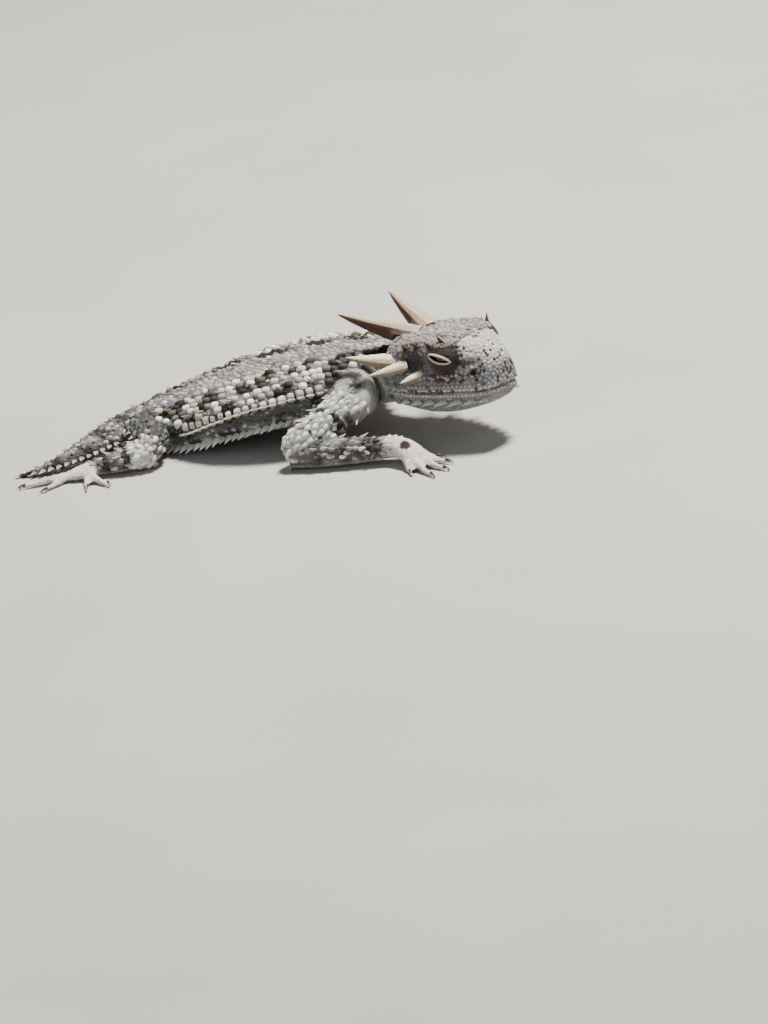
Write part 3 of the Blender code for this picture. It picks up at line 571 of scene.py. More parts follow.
class Places:
    """Points on the skin with all that the marks and scales need to know of them."""

    def __init__(self, points, normals):
        self.points = points
        self.normals = normals
        self.names = solids.names_at(points)
        self.kind = np.array([kind_of(name) for name in self.names])
        near = pose.trunk.nearest(points)
        self.back = pose.trunk.length[-1] - pose.trunk.length[near]
        self.out = ((points - pose.trunk.points[near]) * pose.trunk.left[near]).sum(axis=1)
        self.head = pose.in_head(points)
        self.lie = -pose.trunk.ahead[near]
        self.along = 1 - self.back / pose.trunk.length[-1]
        self.turn = np.arctan2(points[:, 2] - pose.trunk.points[near][:, 2], self.out)
        on_head = self.kind == "head"
        self.lie[on_head] = -pose.ahead
        self.along[on_head] = smoothstep(-SKULL_REACH, SKULL_REACH, self.head[on_head, 0])
        self.turn[on_head] = np.arctan2(self.head[on_head, 2] + SKULL_MIDDLE, self.head[on_head, 1])
        for name, strands in pose.limb_lines.items():
            self.follow(np.flatnonzero(self.names == name), strands)
        self.lie = unit(self.lie - normals * (self.lie * normals).sum(axis=1, keepdims=True))
        self.half_width = np.interp(self.back, *pose.widths)

    def follow(self, chosen, strands):
        """Lie, turn and share of the way along the nearest of some strands."""
        best = np.full(len(chosen), np.inf)
        for start, stop in strands:
            offset = self.points[chosen] - start
            length = np.linalg.norm(stop - start)
            way = (stop - start) / length
            share = np.clip(offset @ way / length, 0, 1)
            gap = np.linalg.norm(offset - share[:, None] * length * way, axis=1)
            nearer = gap < best
            best[nearer] = gap[nearer]
            beside = unit(np.cross(UP, way))
            turn = np.arctan2(offset @ np.cross(way, beside), offset @ beside)
            self.lie[chosen[nearer]] = way
            self.along[chosen[nearer]] = share[nearer]
            self.turn[chosen[nearer]] = turn[nearer]

    def joined(self, other):
        """These places and some others together."""
        both = object.__new__(Places)
        for name, values in vars(self).items():
            setattr(both, name, np.concatenate((values, getattr(other, name))))
        return both

    def chosen(self, mask):
        """The places that a mask or a list of numbers picks."""
        some = object.__new__(Places)
        for name, values in vars(self).items():
            setattr(some, name, values[mask])
        return some


def swollen_copy():
    """One object of the nodes' copies, swollen until the gaps close, with spines only on hands and feet."""
    shape = bmesh.new()
    for name in FLESH:
        points, faces = solids.shapes[name]
        if not name.startswith(PAWS):
            points = solids.without_spines(name)
        vertices = [shape.verts.new(point * MM) for point in points]
        for face in faces:
            shape.faces.new([vertices[i] for i in face])
    shape.normal_update()
    for vertex in shape.verts:
        vertex.co += vertex.normal * SEAM_FILL * MM
    mesh = bpy.data.meshes.new("skin")
    shape.to_mesh(mesh)
    shape.free()
    return new_object("skin", mesh)


def keep_outer(thing):
    """Drops all but the largest closed surface."""
    shape = bmesh.new()
    shape.from_mesh(thing.data)
    seen = set()
    shells = []
    for first in shape.verts:
        if first in seen:
            continue
        shell, waiting = [], [first]
        seen.add(first)
        while waiting:
            vertex = waiting.pop()
            shell.append(vertex)
            for edge in vertex.link_edges:
                other = edge.other_vert(vertex)
                if other not in seen:
                    seen.add(other)
                    waiting.append(other)
        shells.append(shell)
    shells.sort(key=len)
    for shell in shells[:-1]:
        bmesh.ops.delete(shape, geom=shell, context="VERTS")
    shape.to_mesh(thing.data)
    shape.free()


def blurred(mesh, values):
    """Values on a mesh's points, each averaged with its neighbours in MELT_BLUR rounds."""
    edges = np.empty(len(mesh.edges) * 2, int)
    mesh.edges.foreach_get("vertices", edges)
    a, b = edges.reshape(-1, 2).T
    count = np.bincount(a, minlength=len(values)) + np.bincount(b, minlength=len(values))
    for _ in range(MELT_BLUR):
        total = np.bincount(a, values[b], len(values)) + np.bincount(b, values[a], len(values))
        values = (values + total / np.maximum(count, 1)) / 2
    return values


def melt(skin):
    """Smooths away what is left of spines and seams, while the digits and the head keep their forms."""
    amounts = np.array([MELT[kind_of(name)] for name in FLESH])
    weights = blurred(skin.data, amounts[solids.regions(surface(skin)[0])])
    group = skin.vertex_groups.new(name="melt")
    for i, weight in enumerate(weights):
        group.add((i,), float(weight), "REPLACE")
    modify(skin, "SMOOTH", factor=0.5, iterations=MELT_ROUNDS, vertex_group="melt")
    skin.vertex_groups.clear()


def make_skin():
    """One smooth skin over all nodes of flesh, which lies under the coat of scales."""
    skin = swollen_copy()
    modify(skin, "REMESH", mode="VOXEL", voxel_size=VOXEL * MM)
    keep_outer(skin)
    melt(skin)
    points, normals = surface(skin)
    points -= normals * (SEAM_FILL + COAT_DEPTH)
    points[:, 2] = np.maximum(points[:, 2], LEAST_HEIGHT)
    write_points(skin.data, points)
    return skin


def make_camera():
    """The photograph's view, placed by the eye."""
    back = direction(CAMERA_AZIMUTH, CAMERA_ELEVATION)
    turn = math.radians(CAMERA_AZIMUTH)
    roll = Matrix.Rotation(math.radians(CAMERA_ROLL), 3, Vector(back))
    right = np.array(roll @ Vector((math.cos(turn), math.sin(turn), 0)))
    above = np.cross(back, right)
    eye = np.mean(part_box("eye_right"), axis=0)
    column, row = EYE_IN_PICTURE
    middle = eye + right * (PICTURE_WIDTH / 2 - column) / PIXELS_PER_METRE
    middle = middle - above * (PICTURE_HEIGHT / 2 - row) / PIXELS_PER_METRE
    lens = bpy.data.cameras.new("camera")
    lens.sensor_width = SENSOR
    lens.lens = PIXELS_PER_METRE * SENSOR * CAMERA_DISTANCE / PICTURE_HEIGHT
    lens.clip_start = 0.01
    camera = new_object("camera", lens)
    place = Matrix.Translation(Vector(middle + back * CAMERA_DISTANCE))
    camera.matrix_world = place @ Matrix((right, above, back)).transposed().to_4x4()
    bpy.context.scene.camera = camera


def make_light(name, azimuth, elevation, distance, size, watts, colour):
    """A square soft light that faces the middle of the animal."""
    lamp = bpy.data.lights.new(name, "AREA")
    lamp.size = size
    lamp.energy = watts
    lamp.color = colour
    away = Vector(direction(azimuth, elevation))
    light = new_object(name, lamp)
    light.location = away * distance
    light.rotation_euler = away.to_track_quat("Z", "Y").to_euler()


def make_world():
    world = bpy.data.worlds.new("studio")
    world.use_nodes = True
    sky = world.node_tree.nodes["Background"]
    sky.inputs["Color"].default_value = SKY_COLOUR
    sky.inputs["Strength"].default_value = SKY_STRENGTH
    bpy.context.scene.world = world


def make_floor():
    deselect()
    bpy.ops.mesh.primitive_plane_add(size=FLOOR_SIZE)
    floor = bpy.context.object
    floor.name = "floor"
    floor.data.materials.append(floor_finish())


class Finish:
    """A Principled material and short ways to add nodes to it."""

    def __init__(self, name, roughness, shine=0.5):
        self.material = bpy.data.materials.new(name)
        self.material.use_nodes = True
        self.tree = self.material.node_tree
        self.shader = self.tree.nodes["Principled BSDF"]
        self.shader.inputs["Roughness"].default_value = roughness
        self.shader.inputs["Specular IOR Level"].default_value = shine

    def add(self, kind, **settings):
        node = self.tree.nodes.new(kind)
        for name, value in settings.items():
            setattr(node, name, value)
        return node

    def join(self, start, stop):
        self.tree.links.new(start, stop)

    def attribute(self, name, part="Fac"):
        """What the mesh's points hold under a name, as a number or as a colour."""
        return self.add("ShaderNodeAttribute", attribute_name=name).outputs[part]

    def noise(self, scale, detail=4.0):
        node = self.add("ShaderNodeTexNoise")
        node.inputs["Scale"].default_value = scale
        node.inputs["Detail"].default_value = detail
        node.inputs["Roughness"].default_value = 0.6
        self.join(self.add("ShaderNodeTexCoord").outputs["Object"], node.inputs["Vector"])
        return node.outputs["Fac"]

    def remap(self, value, low, high, start, stop):
        node = self.add("ShaderNodeMapRange", clamp=True)
        self.join(value, node.inputs["Value"])
        for socket, number in zip(("From Min", "From Max", "To Min", "To Max"), (low, high, start, stop)):
            node.inputs[socket].default_value = number
        return node.outputs["Result"]

    def grains(self, scale, start, stop, spread=0.2, detail=4.0):
        """Noise from start to stop, whose slopes are the steeper the smaller its spread."""
        return self.remap(self.noise(scale, detail), 0.5 - spread, 0.5 + spread, start, stop)

    def mix(self, factor, first, second, blend="MIX"):
        node = self.add("ShaderNodeMix", data_type="RGBA", blend_type=blend)
        for socket, value in ((node.inputs[0], factor), (node.inputs[6], first), (node.inputs[7], second)):
            if isinstance(value, bpy.types.NodeSocket):
                self.join(value, socket)
            else:
                socket.default_value = value
        return node.outputs[2]

    def shaded(self, colour, value):
        """A colour times a value."""
        grey = self.add("ShaderNodeCombineColor")
        for socket in grey.inputs[:3]:
            self.join(value, socket)
        return self.mix(1.0, colour, grey.outputs["Color"], "MULTIPLY")

    def colour(self, value):
        self.join(value, self.shader.inputs["Base Color"])

    def relief(self, scale, strength, distance):
        """Fine bumps over the surface, whose distance is in metres."""
        node = self.add("ShaderNodeBump")
        node.inputs["Strength"].default_value = strength
        node.inputs["Distance"].default_value = distance
        self.join(self.noise(scale), node.inputs["Height"])
        self.join(node.outputs["Normal"], self.shader.inputs["Normal"])


def floor_finish():
    finish = Finish("floor", 0.85)
    shade = finish.grains(14, 0.0, 1.0, detail=2)
    finish.colour(finish.mix(shade, (0.40, 0.385, 0.365, 1), (0.44, 0.425, 0.405, 1)))
    return finish.material


def skin_finish():
    """Bare skin between the scales: the marks, darker as painted shade in the gaps between the scales, with
    fine granular relief.
    """
    finish = Finish("lizard_skin", 0.78, 0.15)
    finish.colour(finish.shaded(finish.attribute("tint", "Color"), finish.grains(2600, 0.8, 1.1)))
    finish.relief(3800, 0.6, 0.0001)
    return finish.material


def scale_finish():
    """Keeled scales: the marks, with painted shade at each scale's foot and a painted highlight towards its
    crest, and a dusty grain.
    """
    finish = Finish("lizard_scales", 0.7, 0.15)
    # Painted shade and highlight: a scale is half as light as its tint at its foot, and a little lighter at
    # its crest.
    crest = finish.remap(finish.attribute("crest"), 0.0, 1.0, 0.5, 1.12)
    tint = finish.shaded(finish.attribute("tint", "Color"), crest)
    finish.colour(finish.shaded(tint, finish.grains(3400, 0.86, 1.1)))
    finish.relief(5200, 0.35, 0.00006)
    return finish.material


def horn_finish():
    """Horn: cream at the root and reddish brown at the tip; tan on top and reddish brown beneath, as painted
    light and painted shade.
    """
    finish = Finish("horn", 0.5, 0.3)
    share = finish.attribute("share")
    # Painted light and shade: tan where the horn faces up, dark reddish brown where it faces down.
    upper = finish.remap(finish.attribute("dorsal"), 0.82, 0.97, 0, 1)
    body = finish.mix(upper, (0.055, 0.018, 0.012, 1), (0.50, 0.38, 0.24, 1))
    body = finish.mix(finish.remap(share, 0.55, 1.0, 0, 0.75), body, (0.10, 0.045, 0.03, 1))
    body = finish.mix(finish.remap(share, 0.02, 0.22, 0.45, 0), body, (0.42, 0.36, 0.28, 1))
    finish.colour(finish.shaded(body, finish.grains(1500, 0.75, 1.15)))
    finish.relief(3000, 0.3, 0.00006)
    return finish.material


def cheek_horn_finish():
    """Horn of the temples: cream above and greyish brown beneath, as painted light and painted shade."""
    finish = Finish("cheek_horn", 0.48)
    # Painted light and shade: cream where the horn faces up, greyish brown where it faces down.
    upper = finish.remap(finish.attribute("dorsal"), 0.5, 0.72, 0, 1)
    body = finish.mix(upper, (0.20, 0.155, 0.105, 1), (0.76, 0.66, 0.48, 1))
    tip = finish.remap(finish.attribute("share"), 0.8, 1.0, 0, 0.5)
    body = finish.mix(tip, body, (0.42, 0.30, 0.18, 1))
    finish.colour(finish.shaded(body, finish.grains(1500, 0.82, 1.12)))
    finish.relief(3000, 0.3, 0.00006)
    return finish.material


def eye_finish():
    """A dark wet eye: a brown iris round a black pupil."""
    finish = Finish("eye", 0.12)
    outward = finish.attribute("outward")
    iris = finish.remap(outward, 0.86, 0.92, 0, 1)
    iris = finish.mix(iris, (0.014, 0.010, 0.009, 1), (0.09, 0.045, 0.02, 1))
    iris = finish.shaded(iris, finish.grains(2600, 0.6, 1.2, spread=0.15))
    pupil = finish.remap(outward, 0.965, 0.975, 0, 1)
    finish.colour(finish.mix(pupil, iris, (0.004, 0.004, 0.004, 1)))
    finish.shader.inputs["Coat Weight"].default_value = 0.6
    finish.shader.inputs["Coat Roughness"].default_value = 0.05
    return finish.material


def rim_finish():
    """Pale yellowish grey rims of the lids, finely pitted."""
    finish = Finish("lid_rim", 0.5)
    finish.colour(finish.mix(finish.grains(4200, 0.0, 1.0), (0.34, 0.30, 0.20, 1), (0.58, 0.53, 0.40, 1)))
    finish.relief(5200, 0.5, 0.00008)
    return finish.material


def claw_finish():
    """Dark brown claws, streaked lighter."""
    finish = Finish("claw", 0.3)
    shade = finish.grains(1800, 0.0, 1.0, spread=0.15)
    finish.colour(finish.mix(shade, (0.035, 0.022, 0.016, 1), (0.09, 0.055, 0.035, 1)))
    return finish.material


def mouth_height(x):
    """How high the mouth's line runs at places along the head."""
    return np.interp(x, *zip(*MOUTH_LINE))


def crease(x, y):
    """How far a place on the crown lies before the fold across the forehead."""
    return x - CREASE_PLACE - CREASE_BOW * y * y


def nostril_distance(places):
    x, y, z = places.head.T
    return np.linalg.norm(np.stack((x, np.abs(y), z), axis=1) - NOSTRIL, axis=1)


def shoulder_distance(places):
    """How far each place is from the nearer shoulder."""
    return np.min([np.linalg.norm(places.points - shoulder, axis=1) for shoulder in pose.shoulders], axis=0)


def spot_distance(points):
    """How far points are, seen from above, from the middle of the spot on the nearer hand."""
    gaps = []
    for side, outward in SIDES.items():
        strands = pose.limb_lines[f"hand_{side}"]
        wrist = strands[0][0]
        middle = wrist + (np.mean([tip for _, tip in strands], axis=0) - wrist) * HAND_SPOT
        middle = middle + np.array((0, outward * SPOT_OUT, 0))
        gaps.append(np.linalg.norm((points - middle)[:, :2], axis=1))
    return np.min(gaps, axis=0)


def loose_skin(places):
    """How much a place belongs to the loose, fine skin of the neck, the shoulder and the front of the arm."""
    share = np.abs(places.out) / places.half_width
    up = places.normals[:, 2]
    near = fade(11.5, 13.0, shoulder_distance(places))
    neck = (places.kind == "neck") * smoothstep(0.45, 0.6, share) * (up > -0.7)
    shoulder = (places.kind == "torso") * (places.back < FOLDS_END) * smoothstep(0.72, 0.86, share) * near
    front = places.normals @ pose.trunk.ahead[-1]
    top = fade(0.03, 0.12, places.along)
    arm = (places.kind == "upper_arm") * np.maximum(smoothstep(0.5, 0.75, front), top)
    jowl = (places.kind == "head") * (places.head[:, 0] < -9.5) * (places.head[:, 2] < -3.5)
    return np.clip(neck + shoulder + arm + jowl, 0, 1)


def fold_wave(places):
    """The folds round each shoulder, from 1 on a crest to -1 in a furrow."""
    away = shoulder_distance(places)
    near = smoothstep(0.5, 1.5, away) * fade(11.0, 13.5, away)
    return near * np.sin(2 * math.pi * away / FOLD_WIDTH + 0.6 * grain(places.points, 4.0, 9))


def blend(tint, colour, amount):
    """Colours moved towards one colour by an amount for each."""
    return tint + (colour - tint) * np.clip(amount, 0, 1)[:, None]


def trunk_colours(tint, places):
    """The marks of the back and the tail, painted shade on the strip and in the groove along the flank, and
    the white belly.
    """
    wobble = grain(places.points, 2.4, 3)
    lean = MIDLINE_LEAN * smoothstep(4, 12, places.back) * fade(40, 56, places.back)
    share = np.clip(np.abs(places.out / places.half_width + lean), 0, 1.2)
    hips = smoothstep(42, 48, places.back) * fade(58, 62, places.back) * smoothstep(0.2, 0.36, share)
    tint = blend(tint, PALE, 0.16 * fade(0.35, 0.6, share + wobble * 0.05))
    tint = blend(tint, PALE, 0.3 * fade(0.13, 0.24, share + wobble * 0.03))
    tint = blend(tint, SLATE * 0.7, 0.7 * hips)
    for start, out, long, wide in BACK_MARKS:
        forward = (places.back + wobble * 0.8 - start) / long
        sideways = (share + wobble * 0.04 - out - 0.25 * wide * forward) / wide
        reach = np.hypot(forward, sideways)
        tint = blend(tint, PALE, 0.75 * bump(1.25, 0.3, reach) * (forward > -0.5))
        tint = blend(tint, CHARCOAL, 0.96 * fade(0.85, 1.1, reach))
    for oval_shape in NAPE_MARKS:
        reach = oval(places.back + wobble, share + wobble * 0.05, *oval_shape)
        tint = blend(tint, CHARCOAL, 0.96 * fade(0.8, 1.1, reach))
    behind = places.back - TAIL_START
    band = 0.5 + 0.5 * np.sin(2 * math.pi * behind / TAIL_BAND + wobble)
    tint = blend(tint, CHARCOAL, 0.85 * smoothstep(0.55, 0.8, band) * smoothstep(0, 3, behind))
    up = places.normals[:, 2]
    # Painted shade on the flank's lower edge: grey on the hollow strip between the fringes, and charcoal in
    # the groove sunk along it.
    edge = (places.kind == "torso") * smoothstep(0.75, 0.86, np.abs(places.out) / places.half_width)
    tint = blend(tint, JAW_GREY, 0.8 * (edge * bump(-0.15, 0.4, up)))
    tint = blend(tint, CHARCOAL, 0.9 * (edge * bump(*GROOVE, up)))
    return blend(tint, BELLY_WHITE, 0.9 * smoothstep(0.55, 0.85, -up))


def limb_colours(tint, places):
    """The bars of the limbs, the white sleeves, the cream paws and the spot on each hand."""
    kind, along = places.kind, places.along
    wobble = grain(places.points, 1.8, 8) * 0.03
    for barred, bars in LIMB_BARS.items():
        for centre, half in bars:
            bar = fade(half * 0.6, half, np.abs(along + wobble - centre))
            tint = blend(tint, CHARCOAL, 0.85 * (kind == barred) * bar)
    upper = (kind == "upper_arm") | ((kind == "shank") & (along < KNEE_END))
    tint = blend(tint, SLEEVE_WHITE, 0.9 * upper * (tint.mean(axis=1) > DARK))
    tint = blend(tint, SLATE, 0.5 * (kind == "forearm") * (along < 0.6))
    tint = blend(tint, SLATE * 0.7, 0.75 * (kind == "thigh") * fade(0.8, 0.95, along))
    wrist = (kind == "forearm") * smoothstep(0.8, 0.9, along)
    tint = blend(tint, PAW_CREAM, 0.85 * np.maximum(np.isin(kind, PAWS), wrist))
    spot = spot_distance(places.points) / SPOT_RADIUS + 0.2 * grain(places.points, 0.7, 4)
    back_of_hand = (kind == "hand") * (places.normals[:, 2] > 0.35)
    tint = blend(tint, PLUM, back_of_hand * fade(0.75, 1.0, spot))
    return blend(tint, BELLY_WHITE, 0.8 * ~np.isin(kind, TRUNK) * smoothstep(0.5, 0.8, -places.normals[:, 2]))


def head_colours(tint, places):
    """The colours of the head, each laid over those before it: its marks, and painted shade on the sides of
    the head, in the hollows of the temples, in the fold across the forehead, in the nostrils and in the
    groove of the mouth.
    """
    x, y, z = places.head.T
    out = np.abs(y)
    mouth = mouth_height(x)
    wobble = grain(places.points, 1.6, 6)
    round_eye = np.hypot(np.hypot(x - 0.6, z), out - EYE_OUT)
    under_eye = oval(x, z, *UNDER_EYE) + wobble * 0.15
    ahead_of_eye = oval(x, z, *AHEAD_OF_EYE) + wobble * 0.2
    cheek = smoothstep(3.0, 5.0, out) * fade(2.5, 4.5, x) * fade(0.6, 1.6, z)
    temple = smoothstep(0.1, 0.7, bump(-5.0, 4.0, x) * bump(-0.2, 3.4, z)) * (out > 4.5)
    crown_rear = (z > 0.5) * bump(CROWN_REAR, 0.9, x + 0.02 * y * y) * (out < 6.5)
    here = places.kind == "head"
    for colour, amount in (
            (SNOUT_GREY, 0.8),
            (PINKISH, 0.9 * smoothstep(0.2, 2.0, z + 0.25 * wobble)),
            (PALE, 0.6 * smoothstep(1.6, 3.2, x + wobble * 0.5) * smoothstep(-3.0, -1.0, z)),
            # Painted shade on the sides of the head below the eyes.
            (SLATE, 0.5 * cheek),
            # Painted shade in the hollows of the temples.
            (SLATE * 0.6, 0.95 * temple),
            (LID_BROWN, 0.92 * fade(2.8, 3.7, round_eye) * (out > 3.5) * (z < 2.2)),
            (BROWN, 0.92 * fade(0.7, 1.1, under_eye) * (out > 3.5)),
            (CHARCOAL, 0.75 * fade(0.6, 1.1, ahead_of_eye) * (out > 3)),
            # Painted shade in the fold across the forehead.
            (BROWN, 0.85 * (z > 1.5) * fade(0.2, 0.42, np.abs(crease(x, y)))),
            (CHARCOAL, 0.7 * crown_rear),
            # Painted shade in the pits of the nostrils.
            (BROWN, 0.95 * fade(0.5, 0.85, nostril_distance(places))),
            (PALE, 0.6 * bump(0.0, 1.5, z - mouth)),
            (JAW_GREY, 0.85 * smoothstep(0.6, 1.2, mouth - z)),
            (BELLY_WHITE, 0.8 * smoothstep(0.75, 0.95, -places.normals[:, 2])),
            # Painted shade in the groove along the mouth.
            (CHARCOAL, 0.9 * fade(0.12, 0.3, np.abs(z - mouth)) * (x < 10))):
        tint = blend(tint, colour, here * amount)
    return tint


def colours(places):
    """The animal's marks, with painted shade and painted highlights laid among them, as one colour for each
    place.
    """
    tint = np.tile(ASH, (len(places.points), 1))
    coarse = grain(places.points, 2.2, 1)
    tint = blend(tint, PALE, 0.5 * smoothstep(-0.1, 0.8, coarse))
    tint = blend(tint, SLATE, 0.35 * smoothstep(0.1, 0.9, -coarse))
    on_body = np.isin(places.kind, BODY)
    tint = np.where(on_body[:, None], trunk_colours(tint, places), tint)
    tint = limb_colours(tint, places)
    loose = loose_skin(places) * (tint.mean(axis=1) > DARK)
    wave = fold_wave(places)
    # Loose skin is grey: partly its own colour, partly painted shade on the front of the arm and round the
    # shoulder.
    tint = blend(tint, FOLD_GREY, 0.9 * loose)
    # Painted highlight on the crest of each fold and painted shade in each furrow.
    tint = blend(tint, PALE, 0.35 * loose * smoothstep(0.2, 0.9, wave))
    tint = blend(tint, CHARCOAL, 0.8 * loose * smoothstep(0.3, 0.9, -wave))
    return head_colours(tint, places)


def sculpt(places):
    """How far the skin is raised at each place: brows, temples, lips, folds of the neck and of the flank."""
    x, y, z = places.head.T
    out = np.abs(y)
    here = places.kind == "head"
    over_mouth = z - mouth_height(x)
    nostril = nostril_distance(places)
    lift = FOLD_HEIGHT * loose_skin(places) * fold_wave(places)
    lift -= 0.4 * here * (z > 1.5) * bump(0, 0.75, crease(x, y))
    lift += 0.45 * here * bump(0.0, 4.2, x) * bump(BROW_HEIGHT, 0.9, z) * (out > 4.6)
    lift -= 0.5 * here * bump(-5.2, 2.8, x) * bump(0.2, 2.8, z) * (out > 5)
    lift += 0.28 * here * bump(4.4, 2.6, x) * bump(1.0 - 0.25 * x, 1.0, z) * (out > 2.5)
    lift -= 0.3 * here * bump(4.4, 1.8, x) * bump(-0.9, 0.9, z) * (out > 3)
    lift += 0.16 * here * bump(0.75, 0.7, np.abs(over_mouth)) * (x < 9.5)
    lift -= 0.34 * here * bump(0, 0.4, over_mouth) * (x < 9.8)
    lift += here * (0.22 * bump(0.85, 0.4, nostril) - 0.6 * fade(0.2, 0.55, nostril))
    torso = places.kind == "torso"
    share = np.abs(places.out) / places.half_width
    lift -= 0.5 * torso * bump(GROOVE[0] - 0.1, 0.4, places.normals[:, 2]) * smoothstep(0.75, 0.88, share)
    return lift + 0.12 * torso * grain(places.points, 3.2, 12)


def random_places(skin):
    """Places at random over the skin, CANDIDATES for each square millimetre."""
    skin.data.calc_loop_triangles()
    corners = np.empty(len(skin.data.loop_triangles) * 3, int)
    skin.data.loop_triangles.foreach_get("vertices", corners)
    corners = corners.reshape(-1, 3)
    points, normals = surface(skin)
    a, b, c = (points[corners[:, i]] for i in range(3))
    area = np.linalg.norm(np.cross(b - a, c - a), axis=1) / 2
    chosen = rng.choice(len(area), int(area.sum() * CANDIDATES), p=area / area.sum())
    u, v = rng.random((2, len(chosen)))
    u, v = np.where(u + v > 1, 1 - u, u), np.where(u + v > 1, 1 - v, v)
    weights = np.stack((1 - u - v, u, v), axis=1)
    spots = (points[corners[chosen]] * weights[:, :, None]).sum(axis=1)
    facing = unit((normals[corners[chosen]] * weights[:, :, None]).sum(axis=1))
    return Places(spots, facing)


def spaced(points, passes, taken):
    """Picks points for scales that only just overlap, large ones first, clear of the circles taken.

    Gives each scale's number among the points, and its radius."""
    tree = KDTree(len(points))
    for i, point in enumerate(points):
        tree.insert(point, i)
    tree.balance()
    room = np.full(len(points), np.inf)
    largest = max(radii.max() for radii in passes)
    for centre, radius in taken:
        for _, j, gap in tree.find_range(centre, radius + largest):
            room[j] = min(room[j], gap - radius)
    chosen, sizes = [], []
    for radii in passes:
        largest = radii.max()
        for i in rng.permutation(np.flatnonzero((radii > 0) & (room >= radii * OVERLAP))):
            radius = radii[i]
            if room[i] < radius * OVERLAP:
                continue
            chosen.append(i)
            sizes.append(radius)
            for _, j, gap in tree.find_range(points[i], radius + largest):
                room[j] = min(room[j], gap - radius * OVERLAP)
    return np.array(chosen), np.array(sizes)


class Form:
    """A small shape to be copied many times: its points, triangles and how near its crest each point is."""

    def __init__(self, thing):
        face_outward(thing)
        bpy.ops.object.mode_set(mode="EDIT")
        bpy.ops.mesh.quads_convert_to_tris()
        bpy.ops.object.mode_set(mode="OBJECT")
        self.points = read(thing.data, "co")
        self.faces = np.array([tuple(face.vertices) for face in thing.data.polygons])
        height = self.points[:, 2]
        self.crest = np.clip(height / height.max(), 0, 1)
        bpy.data.objects.remove(thing)


def granule():
    """A low round scale, a unit in radius."""
    deselect()
    bpy.ops.mesh.primitive_uv_sphere_add(segments=7, ring_count=5, radius=1)
    bpy.ops.transform.resize(value=(1, 1, 0.6))
    bpy.ops.object.transform_apply(location=False, rotation=False, scale=True)
    return Form(bpy.context.object)


def keeled_scale(top, keel, point, square=0.0):
    """A scale a unit in radius that lies along +X, with a keeled top and its rear drawn to a point."""
    deselect()
    bpy.ops.mesh.primitive_cone_add(vertices=8, radius1=1.0, radius2=top, depth=0.7)
    thing = bpy.context.object
    bpy.ops.object.mode_set(mode="EDIT")
    shape = bmesh.from_edit_mesh(thing.data)
    for face in shape.faces:
        face.select = face.normal.z > 0.9
    bmesh.update_edit_mesh(thing.data)
    bpy.ops.mesh.poke()
    bpy.ops.object.mode_set(mode="OBJECT")
    for vertex in thing.data.vertices:
        x, y, z = vertex.co
        if math.hypot(x, y) < 0.1 and z > 0:
            vertex.co = (0.3 + point * 0.6, 0, 0.3 + keel)
            continue
        corner = 1 + square * abs(math.sin(2 * math.atan2(y, x)))
        rear = max(x, 0)
        lift = 0.3 * keel * rear if z > 0 else 0
        vertex.co = ((x + rear * point) * corner, y * (1 - rear * 0.6 * point) * corner, z - 0.1 + lift)
    return Form(thing)


def spine_form():
    """A spine from the ground at 0 to a tip at 1 along +Z, a unit wide and flared at its foot."""
    deselect()
    bpy.ops.mesh.primitive_cone_add(vertices=9, radius1=0.5, radius2=0.0, depth=1.25, location=(0, 0, 0.375))
    thing = bpy.context.object
    bpy.ops.object.transform_apply(location=True, rotation=False, scale=False)
    cut_level(thing, SPINE_STEPS)
    for vertex in thing.data.vertices:
        x, y, z = vertex.co
        flare = 1 + 0.35 * max(0, 0.3 - z)
        ridge = 1 - 0.16 * math.cos(3 * math.atan2(y, x))
        vertex.co = (x * flare * ridge, y * flare * ridge, z)
    return Form(thing)


class Coat:
    """Many copies of small forms in one mesh, with a colour, a crest and a patch of the unwrap for each."""

    def __init__(self, title):
        self.title = title
        self.parts = []

    def add(self, form, roots, axes, sizes, tints, patches):
        """Adds copies of a form, whose axes are the columns of a matrix and whose sizes are along them."""
        points = roots[:, None, :] + np.einsum("nij,nvj->nvi", axes, form.points[None] * sizes[:, None, :])
        points = np.clip(points, *LIMITS)
        flat = form.points[:, :2] / np.abs(form.points[:, :2]).max()
        spread = patches[:, None, :] + flat[None] * PATCH / 2
        crests = np.tile(form.crest, (len(roots), 1))
        tints = np.repeat(tints[:, None], len(form.points), axis=1)
        self.parts.append((points, form.faces, crests, tints, spread))

    def build(self, material):
        """Makes the copies one mesh."""
        points, faces, start = [], [], 0
        for part, triangles_of_one, *_ in self.parts:
            copies, each = part.shape[:2]
            shift = start + np.arange(copies)[:, None, None] * each
            faces.append((triangles_of_one[None] + shift).reshape(-1, 3))
            points.append(part.reshape(-1, 3))
            start += copies * each
        crests, tints, spread = (np.concatenate([part[i].reshape(-1, width) for part in self.parts])
                                 for i, width in ((2, 1), (3, 3), (4, 2)))
        faces = np.concatenate(faces)
        mesh = bpy.data.meshes.new(self.title)
        mesh.from_pydata(np.concatenate(points) * MM, [], faces)
        thing = new_object(self.title, mesh)
        paint(mesh, tints)
        mark(mesh, "crest", crests.ravel())
        mesh.uv_layers.new(name="OFBake").data.foreach_set("uv", spread[faces.ravel()].ravel())
        mesh.materials.append(material)
        pick(thing)
        bpy.ops.object.shade_smooth_by_angle(angle=SCALE_SMOOTH)
        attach(thing, "root")


